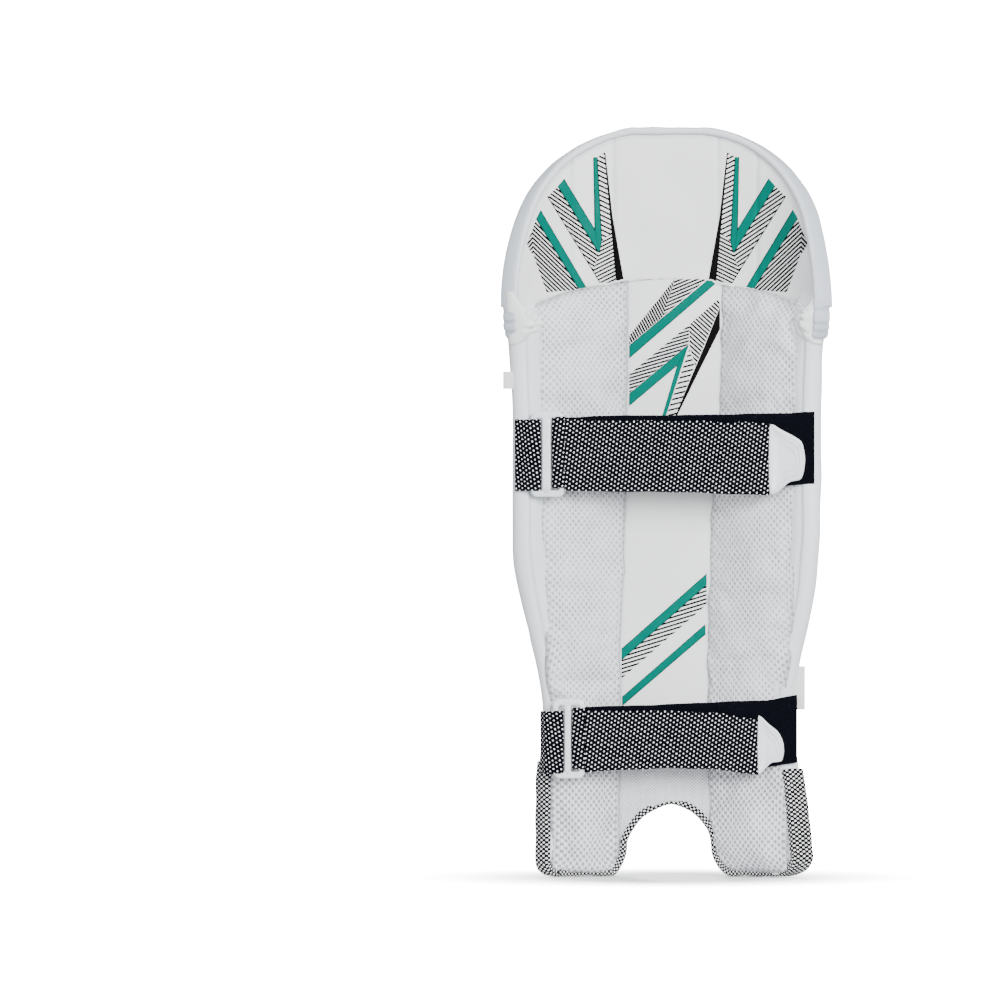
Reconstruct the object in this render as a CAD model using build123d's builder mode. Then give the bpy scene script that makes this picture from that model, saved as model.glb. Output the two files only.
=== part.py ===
"""Right-leg wicket-keeping pad: quilted shin guard, folding knee flap, foam bolsters and two
hook-and-loop straps.

Millimetres. X runs across the leg with the outside of the leg at -X, the front face looks
toward -Y, the leg is on the +Y side, and Z is up. The origin is under the middle of the pad.

The whole pad follows one plan curve: flat over the shin bone, then wrapped round the leg on
both sides. A place on it is given by u, the distance along the face from the centre seam, and
n, the depth toward the leg behind the front of the core board.
"""
from build123d import *
from math import asin, copysign, cos, sin
import os

# Plan curve
FACE_Y = -32.7            # front of the core board on the centre seam
CENTRE_X = 4.0            # the centre seam sits a little toward the inside of the leg
FLAT_HALF = 38.0          # half width of the flat front
WRAP_RADIUS = 108.0       # radius that the sides wrap round

# Heights
KNEE_Z = 483.0            # seam between the shin guard and the knee flap
ROLL_Z = 447.0            # lower end of the knee rolls
BADGE_PANEL_Z = 139.0     # lower end of the two middle tubes
TUBE_FOOT_Z = 18.0        # lower end of the other tubes
SEAM_GAP = 0.4            # clearance kept at the folding knee seam
FOOT_TAPE_Z = 98.0        # top of the chequered tape up the sides of the foot

# Layers, front to back
SHEET = 1.0               # thickness of a cover sheet
FIT = 0.2                 # clearance between a cover and its filling
TUBE_RISE = 12.0          # how far a shin tube stands proud
ROLL_RISE = 17.0          # how far a knee roll stands proud
PANEL_RISE = 7.0          # how far a knee-flap panel stands proud
BOARD = 9.8               # thickness of the foam core board
LINING = 1.6              # thickness of the sewn lining
BOLSTER_BASE = 12.0       # depth at which the bolsters sit on the lining
BOLSTER_CREST = 34.0      # depth of the crest of a bolster

# Seams along the face
TUBE_SEAMS = (-114, -76, -38, 0, 38, 76, 114)
FLAP_SEAMS = (-180, -116.5, -73.5, -32.5, 58, 100, 139.5, 166)
BOLSTER_INNER_EDGE = 39.0
BOLSTER_OUTER_EDGE = 113.5

# Free edges of the wings, as (height, x) where the pad is widest
OUTER_WING = ((1.4, -124), (60, -119), (110, -112), (150, -110), (190, -117), (235, -126),
              (290, -131), (388, -131), (482.6, -138))
INNER_WING = ((188, 115), (210, 120), (252, 127.5), (290, 130.5), (388, 130.5), (482.6, 140))
WING_THICKNESS = 16.0
WING_ROUND = 8.0
INNER_FOOT_X = 109.0      # inner side of the foot
TAPE = 1.2                # thickness of the binding tape
TAPE_SIDE = 13.0          # width of the tape up the side of the foot
TAPE_ARCH = 5.5           # width of the tape round the instep arch

# Knee flap outline
DOME_TOP_Z = 638.0
PIPING_WIDTH = 6.0

# Badge on the flat panel under the middle tubes
BADGE_Z = 94.0
BADGE_THICKNESS = 3.0
BADGE_RIM = 3.0
BADGE_CORNER = 5.0

# Straps: all depths t are measured rearward from the chord that the base run lies on
STRAP = 1.8
RING_FRONT = 2.1          # t of the ring's front face
RING_THICKNESS = 3.0
RING_BAR = 5.0
RETURN_RISE = 5.4         # t of the return run's front face where it leaves the ring
RETURN_REST = 2.6         # t of the return run's front face where it lies on the base run
SLOPE_LENGTH = 30.0       # length over which the return run comes down to the base run
HOOK_PATCH = 0.5
TAB_THICKNESS = 2.4

os.makedirs("parts", exist_ok=True)


def save(part, name):
    """Label one finished sub-part and write it to its own file."""
    part.label = name
    export_step(part, f"parts/{name}.step")


def place(u, n):
    """Plan point at distance u along the face and depth n toward the leg."""
    turn = max(abs(u) - FLAT_HALF, 0) / WRAP_RADIUS
    across = min(abs(u), FLAT_HALF) + (WRAP_RADIUS - n) * sin(turn)
    y = FACE_Y + WRAP_RADIUS - (WRAP_RADIUS - n) * cos(turn)
    return (CENTRE_X + copysign(across, u), y)


def reach(x):
    """Distance u along the face at which the front of the core board reaches x."""
    across = abs(x - CENTRE_X) - FLAT_HALF
    return copysign(FLAT_HALF + WRAP_RADIUS * asin(across / WRAP_RADIUS), x - CENTRE_X)


def follow(u_start, u_end, n):
    """Add lines and arcs along the plan curve at depth n."""
    low, high = sorted((u_start, u_end))
    stops = [low] + [edge for edge in (-FLAT_HALF, FLAT_HALF) if low < edge < high] + [high]
    if u_start > u_end:
        stops.reverse()
    for here, there in zip(stops, stops[1:]):
        if max(abs(here), abs(there)) <= FLAT_HALF:
            Line(place(here, n), place(there, n))
        else:
            ThreePointArc(place(here, n), place((here + there) / 2, n), place(there, n))


def band(u_start, u_end, n_front, n_back):
    """Plan profile of a sheet of even thickness."""
    with BuildSketch() as profile:
        with BuildLine():
            follow(u_start, u_end, n_front)
            Line(place(u_end, n_front), place(u_end, n_back))
            follow(u_end, u_start, n_back)
            Line(place(u_start, n_back), place(u_start, n_front))
        make_face()
    return profile.sketch


def crown(u_start, u_end, n_base, n_crest):
    """Plan profile of a stuffed channel that rises from n_base to n_crest between two seams."""
    with BuildSketch() as profile:
        with BuildLine():
            follow(u_start, u_end, n_base)
            ThreePointArc(place(u_end, n_base), place((u_start + u_end) / 2, n_crest),
                          place(u_start, n_base))
        make_face()
    return profile.sketch


def wing(stations, root, grow=0.0, tape_width=None):
    """Loft of a wing from the root seam to its free edge, thicker all round by grow."""
    side = copysign(1, stations[0][1])
    front, back = -grow, WING_THICKNESS + grow
    with BuildPart() as shape:
        for z, x in stations:
            edge = abs(reach(x)) + grow
            shoulder = side * (edge - min(WING_ROUND, (edge - root) / 2))
            start = side * (edge - tape_width if tape_width else root)
            with BuildSketch(Plane.XY.offset(z)):
                with BuildLine():
                    follow(start, shoulder, front)
                    ThreePointArc(place(shoulder, front), place(side * edge, (front + back) / 2),
                                  place(shoulder, back))
                    follow(shoulder, start, back)
                    Line(place(start, back), place(start, front))
                make_face()
        loft(ruled=True)
    return shape.part


def shin_outline(inset=0.0):
    """Front view of the shin guard: inner side, instep arch and knee seam."""
    with BuildSketch(Plane.XZ) as outline:
        with BuildLine():
            ThreePointArc((44, 0), (36, 12), (33, 28))
            ThreePointArc((33, 28), (18, 51), (-5, 61))
            ThreePointArc((-5, 61), (-28, 50), (-40, 24))
            ThreePointArc((-40, 24), (-46, 8), (-58, 0))
            Polyline((-58, 0), (-150, 0), (-150, KNEE_Z), (140, KNEE_Z), (140, 205), (111, 186),
                     (106, 160), (104, 140), (INNER_FOOT_X, 90), (INNER_FOOT_X, 12))
            ThreePointArc((INNER_FOOT_X, 12), (105, 3), (96, 0))
            Line((96, 0), (44, 0))
        make_face()
        if inset:
            offset(amount=-inset, mode=Mode.REPLACE)
    return outline.sketch


def lining_outline():
    """Front view of the bolsters and centre lining, with their arched upper seam."""
    with BuildSketch(Plane.XZ) as outline:
        add(shin_outline(TAPE_ARCH + 1))
        with BuildLine():
            ThreePointArc((-150, 472), (CENTRE_X, 499), (140, 472))
            Line((140, 472), (140, 440))
            Line((140, 440), (-150, 440))
            Line((-150, 440), (-150, 472))
        make_face()
        with Locations((INNER_FOOT_X - TAPE_SIDE - 1, 0)):
            Rectangle(60, FOOT_TAPE_Z + FIT, align=Align.MIN, mode=Mode.SUBTRACT)
    return outline.sketch


def dome_outline(inset=0.0):
    """Front view of the knee flap."""
    with BuildSketch(Plane.XZ) as outline:
        with BuildLine():
            Line((-141, KNEE_Z + SEAM_GAP), (142, KNEE_Z + SEAM_GAP))
            ThreePointArc((142, KNEE_Z + SEAM_GAP), (138, 530), (129, 562))
            ThreePointArc((129, 562), (107, 599), (75, 623))
            ThreePointArc((75, 623), (53, 632), (29, DOME_TOP_Z))
            Line((29, DOME_TOP_Z), (-33, DOME_TOP_Z))
            ThreePointArc((-33, DOME_TOP_Z), (-60, 633), (-83, 623))
            ThreePointArc((-83, 623), (-113, 597), (-131, 562))
            ThreePointArc((-131, 562), (-138, 525), (-141, KNEE_Z + SEAM_GAP))
        make_face()
        if inset:
            offset(amount=-inset, mode=Mode.REPLACE)
    return outline.sketch


THROUGH = 200             # far enough to cut through the pad front to back
PAD_TOP = 500             # above everything that belongs to the shin guard


def slab(profile, outline, z_low=0.0, z_high=PAD_TOP):
    """Solid with one plan profile between two heights, cut to a front view."""
    with BuildPart() as solid:
        with BuildSketch(Plane.XY.offset(z_low)):
            add(profile)
        extrude(amount=z_high - z_low)
        extrude(outline, amount=THROUGH, both=True, mode=Mode.INTERSECT)
    return solid.part


BODY_OUTLINE = shin_outline(TAPE + FIT)
REAR_OUTLINE = lining_outline()
FLAP_OUTLINE = dome_outline(SHEET)
LEFT_SEAM, RIGHT_SEAM = TUBE_SEAMS[0], TUBE_SEAMS[-1]

# Front of the shin guard: tubes and knee rolls under one cover
CHANNELS = list(zip(TUBE_SEAMS, TUBE_SEAMS[1:]))
MIDDLE = (2, 3)

with BuildPart() as shin_facing:
    with BuildSketch():
        add(band(LEFT_SEAM, RIGHT_SEAM, -SHEET - FIT, -FIT))
    extrude(amount=KNEE_Z)
    for index, (start, end) in enumerate(CHANNELS):
        foot = BADGE_PANEL_Z if index in MIDDLE else TUBE_FOOT_Z
        for low, high, rise in ((foot, ROLL_Z, TUBE_RISE), (ROLL_Z, KNEE_Z, ROLL_RISE)):
            with BuildSketch(Plane.XY.offset(low)):
                add(crown(start, end, -SHEET, -rise))
                add(crown(start + 1.6, end - 1.6, -SHEET - FIT, SHEET - rise),
                    mode=Mode.SUBTRACT)
            extrude(amount=high - low)
    extrude(BODY_OUTLINE, amount=THROUGH, both=True, mode=Mode.INTERSECT)
save(shin_facing.part, "shin_facing")

for index, (start, end) in enumerate(CHANNELS):
    foot = BADGE_PANEL_Z if index in MIDDLE else TUBE_FOOT_Z
    fillings = (("tube_core", foot, ROLL_Z - FIT, TUBE_RISE),
                ("knee_roll", ROLL_Z, KNEE_Z, ROLL_RISE))
    for kind, low, high, rise in fillings:
        with BuildPart() as filling:
            with BuildSketch(Plane.XY.offset(low)):
                add(crown(start + 2, end - 2, -SHEET - 2 * FIT, SHEET + FIT - rise))
            extrude(amount=high - low)
            extrude(BODY_OUTLINE, amount=THROUGH, both=True, mode=Mode.INTERSECT)
        save(filling.part, f"{kind}_{index + 1}")

# Core board and the sewn lining behind it
LAYERS = {"shin_board": (0, BOARD), "shin_lining": (BOARD + FIT, BOARD + FIT + LINING)}
for name, (front, back) in LAYERS.items():
    save(slab(band(LEFT_SEAM, RIGHT_SEAM, front, back), BODY_OUTLINE), name)

# Padded panel down the middle of the rear face
save(slab(crown(1 - FLAT_HALF, FLAT_HALF - 1, BOLSTER_BASE, BOLSTER_BASE + 3), REAR_OUTLINE),
     "centre_panel")

# Bolsters: a foam bar inside a mesh cover that is open toward the lining
for name, side in (("outer", -1), ("inner", 1)):
    near, far = side * BOLSTER_INNER_EDGE, side * BOLSTER_OUTER_EDGE
    with BuildPart() as bolster_cover:
        with BuildSketch():
            add(crown(near, far, BOLSTER_BASE, BOLSTER_CREST))
            add(crown(near + side * 2, far - side * 2, BOLSTER_BASE, BOLSTER_CREST - SHEET),
                mode=Mode.SUBTRACT)
        extrude(amount=PAD_TOP)
        extrude(REAR_OUTLINE, amount=THROUGH, both=True, mode=Mode.INTERSECT)
    save(bolster_cover.part, f"bolster_cover_{name}")
    save(slab(crown(near + side * 3, far - side * 3, BOLSTER_BASE + FIT,
                    BOLSTER_CREST - SHEET - FIT), REAR_OUTLINE), f"bolster_foam_{name}")

# Wings: a foam slab inside a sleeve that is open at its root seam
WING_ROOT = RIGHT_SEAM + FIT
for name, stations in (("outer", OUTER_WING), ("inner", INNER_WING)):
    foam_stations = [(z, x - copysign(FIT, x)) for z, x in stations]
    with BuildPart() as wing_cover:
        add(wing(stations, WING_ROOT, SHEET))
        add(wing(stations, WING_ROOT - 2), mode=Mode.SUBTRACT)
    save(wing_cover.part, f"wing_cover_{name}")
    save(wing(foam_stations, WING_ROOT + FIT, -2 * FIT), f"wing_foam_{name}")

# Chequered binding tape round the instep arch and up both sides of the foot
SIDE_TAPE_X = INNER_FOOT_X - TAPE_SIDE
TAPE_BACK = BOARD + LINING + 2 * FIT
FOOT_CHANNELS = [channel for index, channel in enumerate(CHANNELS) if index not in MIDDLE]
tape_shell = (slab(band(LEFT_SEAM, RIGHT_SEAM, -2 * TAPE, TAPE_BACK + TAPE), shin_outline())
              - slab(band(LEFT_SEAM - 1, RIGHT_SEAM + 1, -SHEET - 2 * FIT, TAPE_BACK),
                     shin_outline(TAPE)))
for start, end in FOOT_CHANNELS:
    tape_shell -= slab(crown(start - FIT, end + FIT, 0, -TUBE_RISE - FIT), shin_outline(),
                       TUBE_FOOT_Z - FIT)

with BuildPart() as instep_tape:
    add(tape_shell)
    with BuildSketch(Plane.XZ):
        Rectangle(250, 140)
        add(shin_outline(TAPE_ARCH), mode=Mode.SUBTRACT)
    extrude(amount=THROUGH, both=True, mode=Mode.INTERSECT)
    with BuildSketch(Plane.XZ):
        with Locations((SIDE_TAPE_X - FIT, 0)):
            Rectangle(60, 400, align=(Align.MIN, Align.CENTER))
    extrude(amount=THROUGH, both=True, mode=Mode.SUBTRACT)
save(instep_tape.part, "instep_tape")

with BuildPart() as side_tape_inner:
    add(tape_shell)
    with BuildSketch(Plane.XZ):
        with Locations((SIDE_TAPE_X, 0)):
            Rectangle(60, FOOT_TAPE_Z, align=Align.MIN)
        add(shin_outline(TAPE_SIDE), mode=Mode.SUBTRACT)
    extrude(amount=THROUGH, both=True, mode=Mode.INTERSECT)
save(side_tape_inner.part, "side_tape_inner")

with BuildPart() as side_tape_outer:
    add(wing(OUTER_WING[:3], WING_ROOT, SHEET + FIT + TAPE, TAPE_SIDE))
    add(wing(OUTER_WING[:3], WING_ROOT - 2, SHEET + FIT), mode=Mode.SUBTRACT)
    with BuildSketch():
        Rectangle(400, 400)
    extrude(amount=FOOT_TAPE_Z, mode=Mode.INTERSECT)
save(side_tape_outer.part, "side_tape_outer")

# Plain moulded badge on the flat panel, and two blank fabric labels
BADGE_Y = FACE_Y - SHEET - 2 * FIT
BADGE_PLANE = Plane((CENTRE_X, BADGE_Y, BADGE_Z), x_dir=(1, 0, 0), z_dir=(0, -1, 0))


def shield(inset=0.0):
    """Outline of the badge about its centre."""
    with BuildSketch(BADGE_PLANE) as outline:
        Polygon((-27, 25), (27, 25), (29, 4), (25, -15), (0, -26), (-25, -15), (-29, 4), align=None)
        offset(amount=-inset, mode=Mode.REPLACE)
        fillet(outline.vertices(), BADGE_CORNER)
    return outline.sketch


RIM_OUTSIDE = shield()
RIM_INSIDE = shield(BADGE_RIM)
PLATE = shield(BADGE_RIM + FIT)

with BuildPart() as badge_rim:
    extrude(RIM_OUTSIDE, amount=BADGE_THICKNESS)
    extrude(RIM_INSIDE, amount=BADGE_THICKNESS, mode=Mode.SUBTRACT)
save(badge_rim.part, "badge_rim")

with BuildPart() as badge_plate:
    extrude(PLATE, amount=BADGE_THICKNESS - SHEET)
save(badge_plate.part, "badge_plate")

LABEL_THICKNESS = 0.6
LABELS = {"size_label": (135, 141, 52, 414, 429), "care_label": (-119, -113, 36, 142, 179)}
for name, (x_low, x_high, depth, z_low, z_high) in LABELS.items():
    with BuildPart() as label:
        with Locations((x_low, FACE_Y + depth, z_low)):
            Box(x_high - x_low, LABEL_THICKNESS, z_high - z_low, align=Align.MIN)
    save(label.part, name)

# Knee flap
FLAP_LEFT, FLAP_RIGHT = FLAP_SEAMS[0], FLAP_SEAMS[-1]
FLAP_BASE = KNEE_Z + SEAM_GAP
FLAP_BOARD = 8.0
PANELS = list(zip(FLAP_SEAMS, FLAP_SEAMS[1:]))

with BuildPart() as flap_facing:
    with BuildSketch(Plane.XY.offset(FLAP_BASE)):
        add(band(FLAP_LEFT, FLAP_RIGHT, -SHEET - FIT, -FIT))
        for start, end in PANELS:
            add(crown(start, end, -SHEET, -PANEL_RISE))
            add(crown(start + 1.6, end - 1.6, -SHEET - FIT, SHEET - PANEL_RISE),
                mode=Mode.SUBTRACT)
    extrude(amount=DOME_TOP_Z)
    extrude(dome_outline(), amount=THROUGH, both=True, mode=Mode.INTERSECT)
save(flap_facing.part, "flap_facing")

for index, (start, end) in enumerate(PANELS):
    filling = crown(start + 3, end - 3, -SHEET - 2 * FIT, SHEET + 4 * FIT - PANEL_RISE)
    save(slab(filling, FLAP_OUTLINE, FLAP_BASE, DOME_TOP_Z), f"flap_foam_{index + 1}")

FLAP_LAYERS = {"flap_board": (0, FLAP_BOARD),
               "flap_lining": (FLAP_BOARD + FIT, FLAP_BOARD + FIT + LINING)}
for name, (front, back) in FLAP_LAYERS.items():
    save(slab(band(FLAP_LEFT, FLAP_RIGHT, front, back), FLAP_OUTLINE, FLAP_BASE, DOME_TOP_Z), name)

with BuildPart() as flap_piping:
    add(slab(band(FLAP_LEFT, FLAP_RIGHT, FLAP_BOARD + 2 * FIT + LINING, FLAP_BOARD + 6),
             dome_outline(), FLAP_BASE, DOME_TOP_Z))
    extrude(dome_outline(PIPING_WIDTH), amount=THROUGH, both=True, mode=Mode.SUBTRACT)
    with BuildSketch(Plane.XY.offset(FLAP_BASE)):
        Rectangle(400, 400)
    extrude(amount=PIPING_WIDTH + FIT, mode=Mode.SUBTRACT)
save(flap_piping.part, "flap_piping")


class Strap:
    """One strap: a base run to a ring, and a return run that lies on it and ends in a tab."""

    def __init__(self, name, sewn_end, chord_end, base_z, return_z, ring_z, ring_x, fold_x,
                 anchor_fold_x, anchor_end, tab):
        self.name = name
        self.origin = Vector(sewn_end[0], FACE_Y + sewn_end[1], 0)
        self.along = (Vector(chord_end[0], FACE_Y + chord_end[1], 0) - self.origin).normalized()
        self.base_z = base_z
        self.return_z = return_z
        self.ring_z = ring_z
        self.ring_s = [self.reach(x) for x in ring_x]
        self.fold_s = self.reach(fold_x)
        self.anchor_fold_s = self.reach(anchor_fold_x)
        self.anchor_end = (self.reach(anchor_end[0]), anchor_end[1])
        self.tab = [(self.reach(x), z) for x, z in tab]

    def reach(self, x):
        """Distance along the chord at which it passes x."""
        return (x - self.origin.X) / self.along.X

    def plan(self, z):
        """Horizontal plane with the chord as its x axis and depth t as its y axis."""
        return Plane(self.origin + Vector(0, 0, z), x_dir=self.along, z_dir=(0, 0, 1))

    def face(self, t):
        """Upright plane at depth t, with the chord as its x axis and height as its y axis."""
        rearward = Vector(0, 0, 1).cross(self.along)
        return Plane(self.origin + rearward * t, x_dir=self.along, z_dir=-rearward)


UPPER = Strap("upper", sewn_end=(-125, 67), chord_end=(127, 56), base_z=(330, 391.5),
              return_z=(327.7, 388), ring_z=(322.5, 394.5), ring_x=(86, 115), fold_x=97,
              anchor_fold_x=106, anchor_end=(128, -2.6),
              tab=((-86.3, 384.5), (-93, 383.4), (-114.8, 370.7), (-117.5, 355.7),
                   (-114.4, 336.3), (-101.5, 334.8), (-91.2, 325), (-86.3, 324.5)))
LOWER = Strap("lower", sewn_end=(-111, 46.9), chord_end=(98, 44.8), base_z=(92, 148),
              return_z=(87, 142), ring_z=(84, 151.5), ring_x=(69, 96), fold_x=80,
              anchor_fold_x=87, anchor_end=(106, -8.6),
              tab=((-77.3, 141), (-82, 140), (-97, 131), (-100.5, 118),
                   (-98, 99.5), (-89, 97.5), (-83, 88.5), (-77.3, 87)))
FOLD_OUT = RETURN_RISE + STRAP          # depth of a folded strap over its ring bar
FOLD_IN = RETURN_RISE - STRAP
ANCHOR_LAP = 2 * STRAP

for strap in (UPPER, LOWER):
    hinge_s = strap.ring_s[0]
    fold_s = strap.fold_s - FOLD_OUT / 2
    middle = FOLD_OUT / 2

    with BuildPart() as strap_base:
        with BuildSketch(strap.plan(strap.base_z[0])):
            with BuildLine():
                Line((0, 0), (fold_s, 0))
                ThreePointArc((fold_s, 0), (fold_s + middle, middle), (fold_s, FOLD_OUT))
                Polyline((fold_s, FOLD_OUT), (hinge_s, FOLD_OUT), (hinge_s, RETURN_RISE),
                         (fold_s, RETURN_RISE))
                ThreePointArc((fold_s, RETURN_RISE), (fold_s + FOLD_IN / 2, middle),
                              (fold_s, STRAP))
                Polyline((fold_s, STRAP), (0, STRAP), (0, 0))
            make_face()
        extrude(amount=strap.base_z[1] - strap.base_z[0])
    save(strap_base.part, f"{strap.name}_strap_base")

    rest_s = hinge_s - SLOPE_LENGTH
    end_s = strap.tab[0][0] + FIT
    with BuildPart() as strap_return:
        with BuildSketch(strap.plan(strap.return_z[0])):
            Polygon((hinge_s - 2 * FIT, RETURN_RISE), (hinge_s - 2 * FIT, FOLD_OUT),
                    (rest_s, RETURN_REST + STRAP), (end_s, RETURN_REST + STRAP),
                    (end_s, RETURN_REST), (rest_s, RETURN_REST), align=None)
        extrude(amount=strap.return_z[1] - strap.return_z[0])
    save(strap_return.part, f"{strap.name}_strap_return")

    with BuildPart() as pull_tab:
        with BuildSketch(strap.face(RETURN_REST)) as tab_outline:
            Polygon(*strap.tab, align=None)
            fillet(tab_outline.vertices(), 1.5)
        extrude(amount=-TAB_THICKNESS)
    save(pull_tab.part, f"{strap.name}_pull_tab")

    patch_low = max(strap.base_z[0], strap.return_z[0]) + 8
    patch_high = min(strap.base_z[1], strap.return_z[1]) - 17
    with BuildPart() as hook_patch:
        with BuildSketch(strap.face(RETURN_REST - HOOK_PATCH - FIT / 2)):
            with Locations((end_s, patch_low)):
                Rectangle(52, patch_high - patch_low, align=(Align.CENTER, Align.MIN))
        extrude(amount=-HOOK_PATCH)
    save(hook_patch.part, f"{strap.name}_hook_patch")

    ring_width = strap.ring_s[1] - strap.ring_s[0]
    ring_height = strap.ring_z[1] - strap.ring_z[0]
    ring_centre = (sum(strap.ring_s) / 2, sum(strap.ring_z) / 2)
    with BuildPart() as ring:
        with BuildSketch(strap.face(RING_FRONT)):
            with Locations(ring_centre):
                RectangleRounded(ring_width, ring_height, 7)
                RectangleRounded(ring_width - 2 * RING_BAR, ring_height - 5, 2,
                                 mode=Mode.SUBTRACT)
        extrude(amount=-RING_THICKNESS)
    save(ring.part, f"{strap.name}_ring")

    turn_s = strap.anchor_fold_s + middle
    lap_s = strap.ring_s[1] + 5
    anchor_s, anchor_t = strap.anchor_end
    with BuildPart() as anchor:
        with BuildSketch(strap.plan(strap.return_z[0])):
            with BuildLine():
                ThreePointArc((turn_s, 0), (turn_s - middle, middle), (turn_s, FOLD_OUT))
                Polyline((turn_s, FOLD_OUT), (strap.ring_s[1], FOLD_OUT), (lap_s, ANCHOR_LAP),
                         (anchor_s, anchor_t + ANCHOR_LAP), (anchor_s, anchor_t), (lap_s, 0),
                         (turn_s, 0))
            make_face()
            with BuildLine():
                ThreePointArc((turn_s, STRAP), (turn_s - FOLD_IN / 2, middle),
                              (turn_s, RETURN_RISE))
                Polyline((turn_s, RETURN_RISE), (strap.ring_s[1], RETURN_RISE), (lap_s, STRAP),
                         (turn_s, STRAP))
            make_face(mode=Mode.SUBTRACT)
        extrude(amount=strap.return_z[1] - strap.return_z[0])
    save(anchor.part, f"{strap.name}_anchor")
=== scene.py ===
"""Looks of a right-leg wicket-keeping pad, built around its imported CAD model.

The code works in millimetres and scales to metres when a mesh is made. X runs across the leg
with the outside of the leg at -X, the front face looks toward -Y, the leg is on the +Y side,
and Z is up. A place on the pad is given by u, the distance along the face from the centre
seam, n, the depth toward the leg behind the front of the core board, and the height z.
"""
import bmesh
import bpy
import numpy as np
from math import cos, pi, radians, sin
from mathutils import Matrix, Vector


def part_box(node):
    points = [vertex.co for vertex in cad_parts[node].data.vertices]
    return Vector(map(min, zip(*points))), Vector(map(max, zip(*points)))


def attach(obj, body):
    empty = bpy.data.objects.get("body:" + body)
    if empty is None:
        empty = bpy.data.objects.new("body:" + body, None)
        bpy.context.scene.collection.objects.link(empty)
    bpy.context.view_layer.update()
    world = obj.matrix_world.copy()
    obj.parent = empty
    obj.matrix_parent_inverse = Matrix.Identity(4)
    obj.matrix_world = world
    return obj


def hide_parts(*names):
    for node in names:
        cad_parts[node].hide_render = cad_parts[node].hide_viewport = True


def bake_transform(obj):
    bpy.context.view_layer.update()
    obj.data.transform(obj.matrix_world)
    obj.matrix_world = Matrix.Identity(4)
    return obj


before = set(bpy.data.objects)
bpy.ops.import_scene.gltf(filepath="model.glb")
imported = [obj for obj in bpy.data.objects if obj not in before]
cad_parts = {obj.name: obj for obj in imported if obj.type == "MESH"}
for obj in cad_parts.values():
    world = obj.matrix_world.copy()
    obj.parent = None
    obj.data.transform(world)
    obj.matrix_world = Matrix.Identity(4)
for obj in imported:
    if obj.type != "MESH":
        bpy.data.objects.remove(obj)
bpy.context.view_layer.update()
MM = .001

# ---------------------------------------------------------------- dimensions
FLAT_HALF = 38.0            # half width of the flat front
WRAP_RADIUS = 108.0         # radius that the sides wrap round
FACE_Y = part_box("shin_board")[0].y / MM
CENTRE_X = (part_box("centre_panel")[0].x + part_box("centre_panel")[1].x) / 2 / MM
KNEE_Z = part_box("shin_facing")[1].z / MM + 1.4
FLAP_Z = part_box("flap_facing")[0].z / MM
DOME_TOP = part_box("flap_facing")[1].z / MM
ROLL_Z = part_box("knee_roll_3")[0].z / MM
MIDDLE_FOOT_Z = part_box("tube_core_3")[0].z / MM
SKIN = 1.2                  # depth of the cover in front of the board
TUBE_RISE = 11.0            # how far a tube stands proud
ROLL_RISE = 15.5            # how far a knee roll stands proud
LINING_N = 11.8             # depth of the sewn lining
PANEL_N = 13.0              # depth at which the bolsters and the centre panel start
FOOT_RISE = 2.5             # how far above the bottom edge they start
EDGE_N = {-1: 1.5, 1: 3.0}  # depth at which the wings reach the widths below, by side
WING_BACK = 17.0            # depth of the back of a wing
WING_ROUND = 8.0            # radius of the free edge of a wing
SEAM_STEP = 38.0            # distance between the tube seams
WING_SEAM = 3 * SEAM_STEP   # seam between the outermost tube and the wing
LEVEL_Z = 118.0             # height above which the rows of the cover are level
FOOT_SHARE = .27            # share of the rows below that height
SEAM_FAN = (-7, -5, -2.5, 0, 9, 11, 7)      # how far each tube seam moves out at the knee
NEEDLE = 2.8                # distance between stitches
ROLL_HALF = 3.7             # half width of the rolled edge of the knee flap

# Instep arch and bottom edge, outer side first: arcs through three points in front view
FOOT_CORNERS = [((-122, 24), (-119, 7.5), (-106, .8)), ((-106, .8), (-83, .6), (-58, .6))]
ARCH = [((-58, .6), (-46, 8), (-40, 24)), ((-40, 24), (-28, 50), (-5, 61)),
        ((-5, 61), (18, 51), (33, 28)), ((33, 28), (36, 12), (44, .6))]
INNER_CORNER = [((44, .6), (70, .6), (96, .6)), ((96, .6), (105, 3.6), (109, 12))]
BOTTOM = FOOT_CORNERS + ARCH + INNER_CORNER
OUTER_SIDE = ((1, -124), (60, -119), (110, -112), (150, -110), (190, -117), (235, -126),
              (290, -131), (388, -131), (445, -132.5), (483, -135))
INNER_SIDE = ((12, 109), (90, 108.5), (116, 105.5), (142, 104), (160, 106), (186, 111), (218, 120),
              (269, 130), (388, 130.5), (445, 132.5), (483, 136))
SIDE_LINES = {-1: OUTER_SIDE, 1: INNER_SIDE}
DOME = [((-141, 483), (-138, 525), (-131, 562)), ((-131, 562), (-113, 597), (-83, 623)),
        ((-83, 623), (-60, 633), (-33, DOME_TOP)), ((-33, DOME_TOP), (-2, DOME_TOP), (29, DOME_TOP)),
        ((29, DOME_TOP), (53, 632), (75, 623)), ((75, 623), (107, 599), (129, 562)),
        ((129, 562), (138, 530), (142, 483))]
TOP_SEAM = ((-138, 474), (0, 508), (138, 474))      # arched top of the bolsters

# Front line of each strap in plan, from end to end, as (x, depth behind the face)
UPPER_CHORD = ((-125, 67), (127, 56))
LOWER_CHORD = ((-111, 46.9), (98, 44.8))
STRAP_LINES = ((*UPPER_CHORD, 326, 394), (*LOWER_CHORD, 88, 156))       # with the heights they press on

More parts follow.
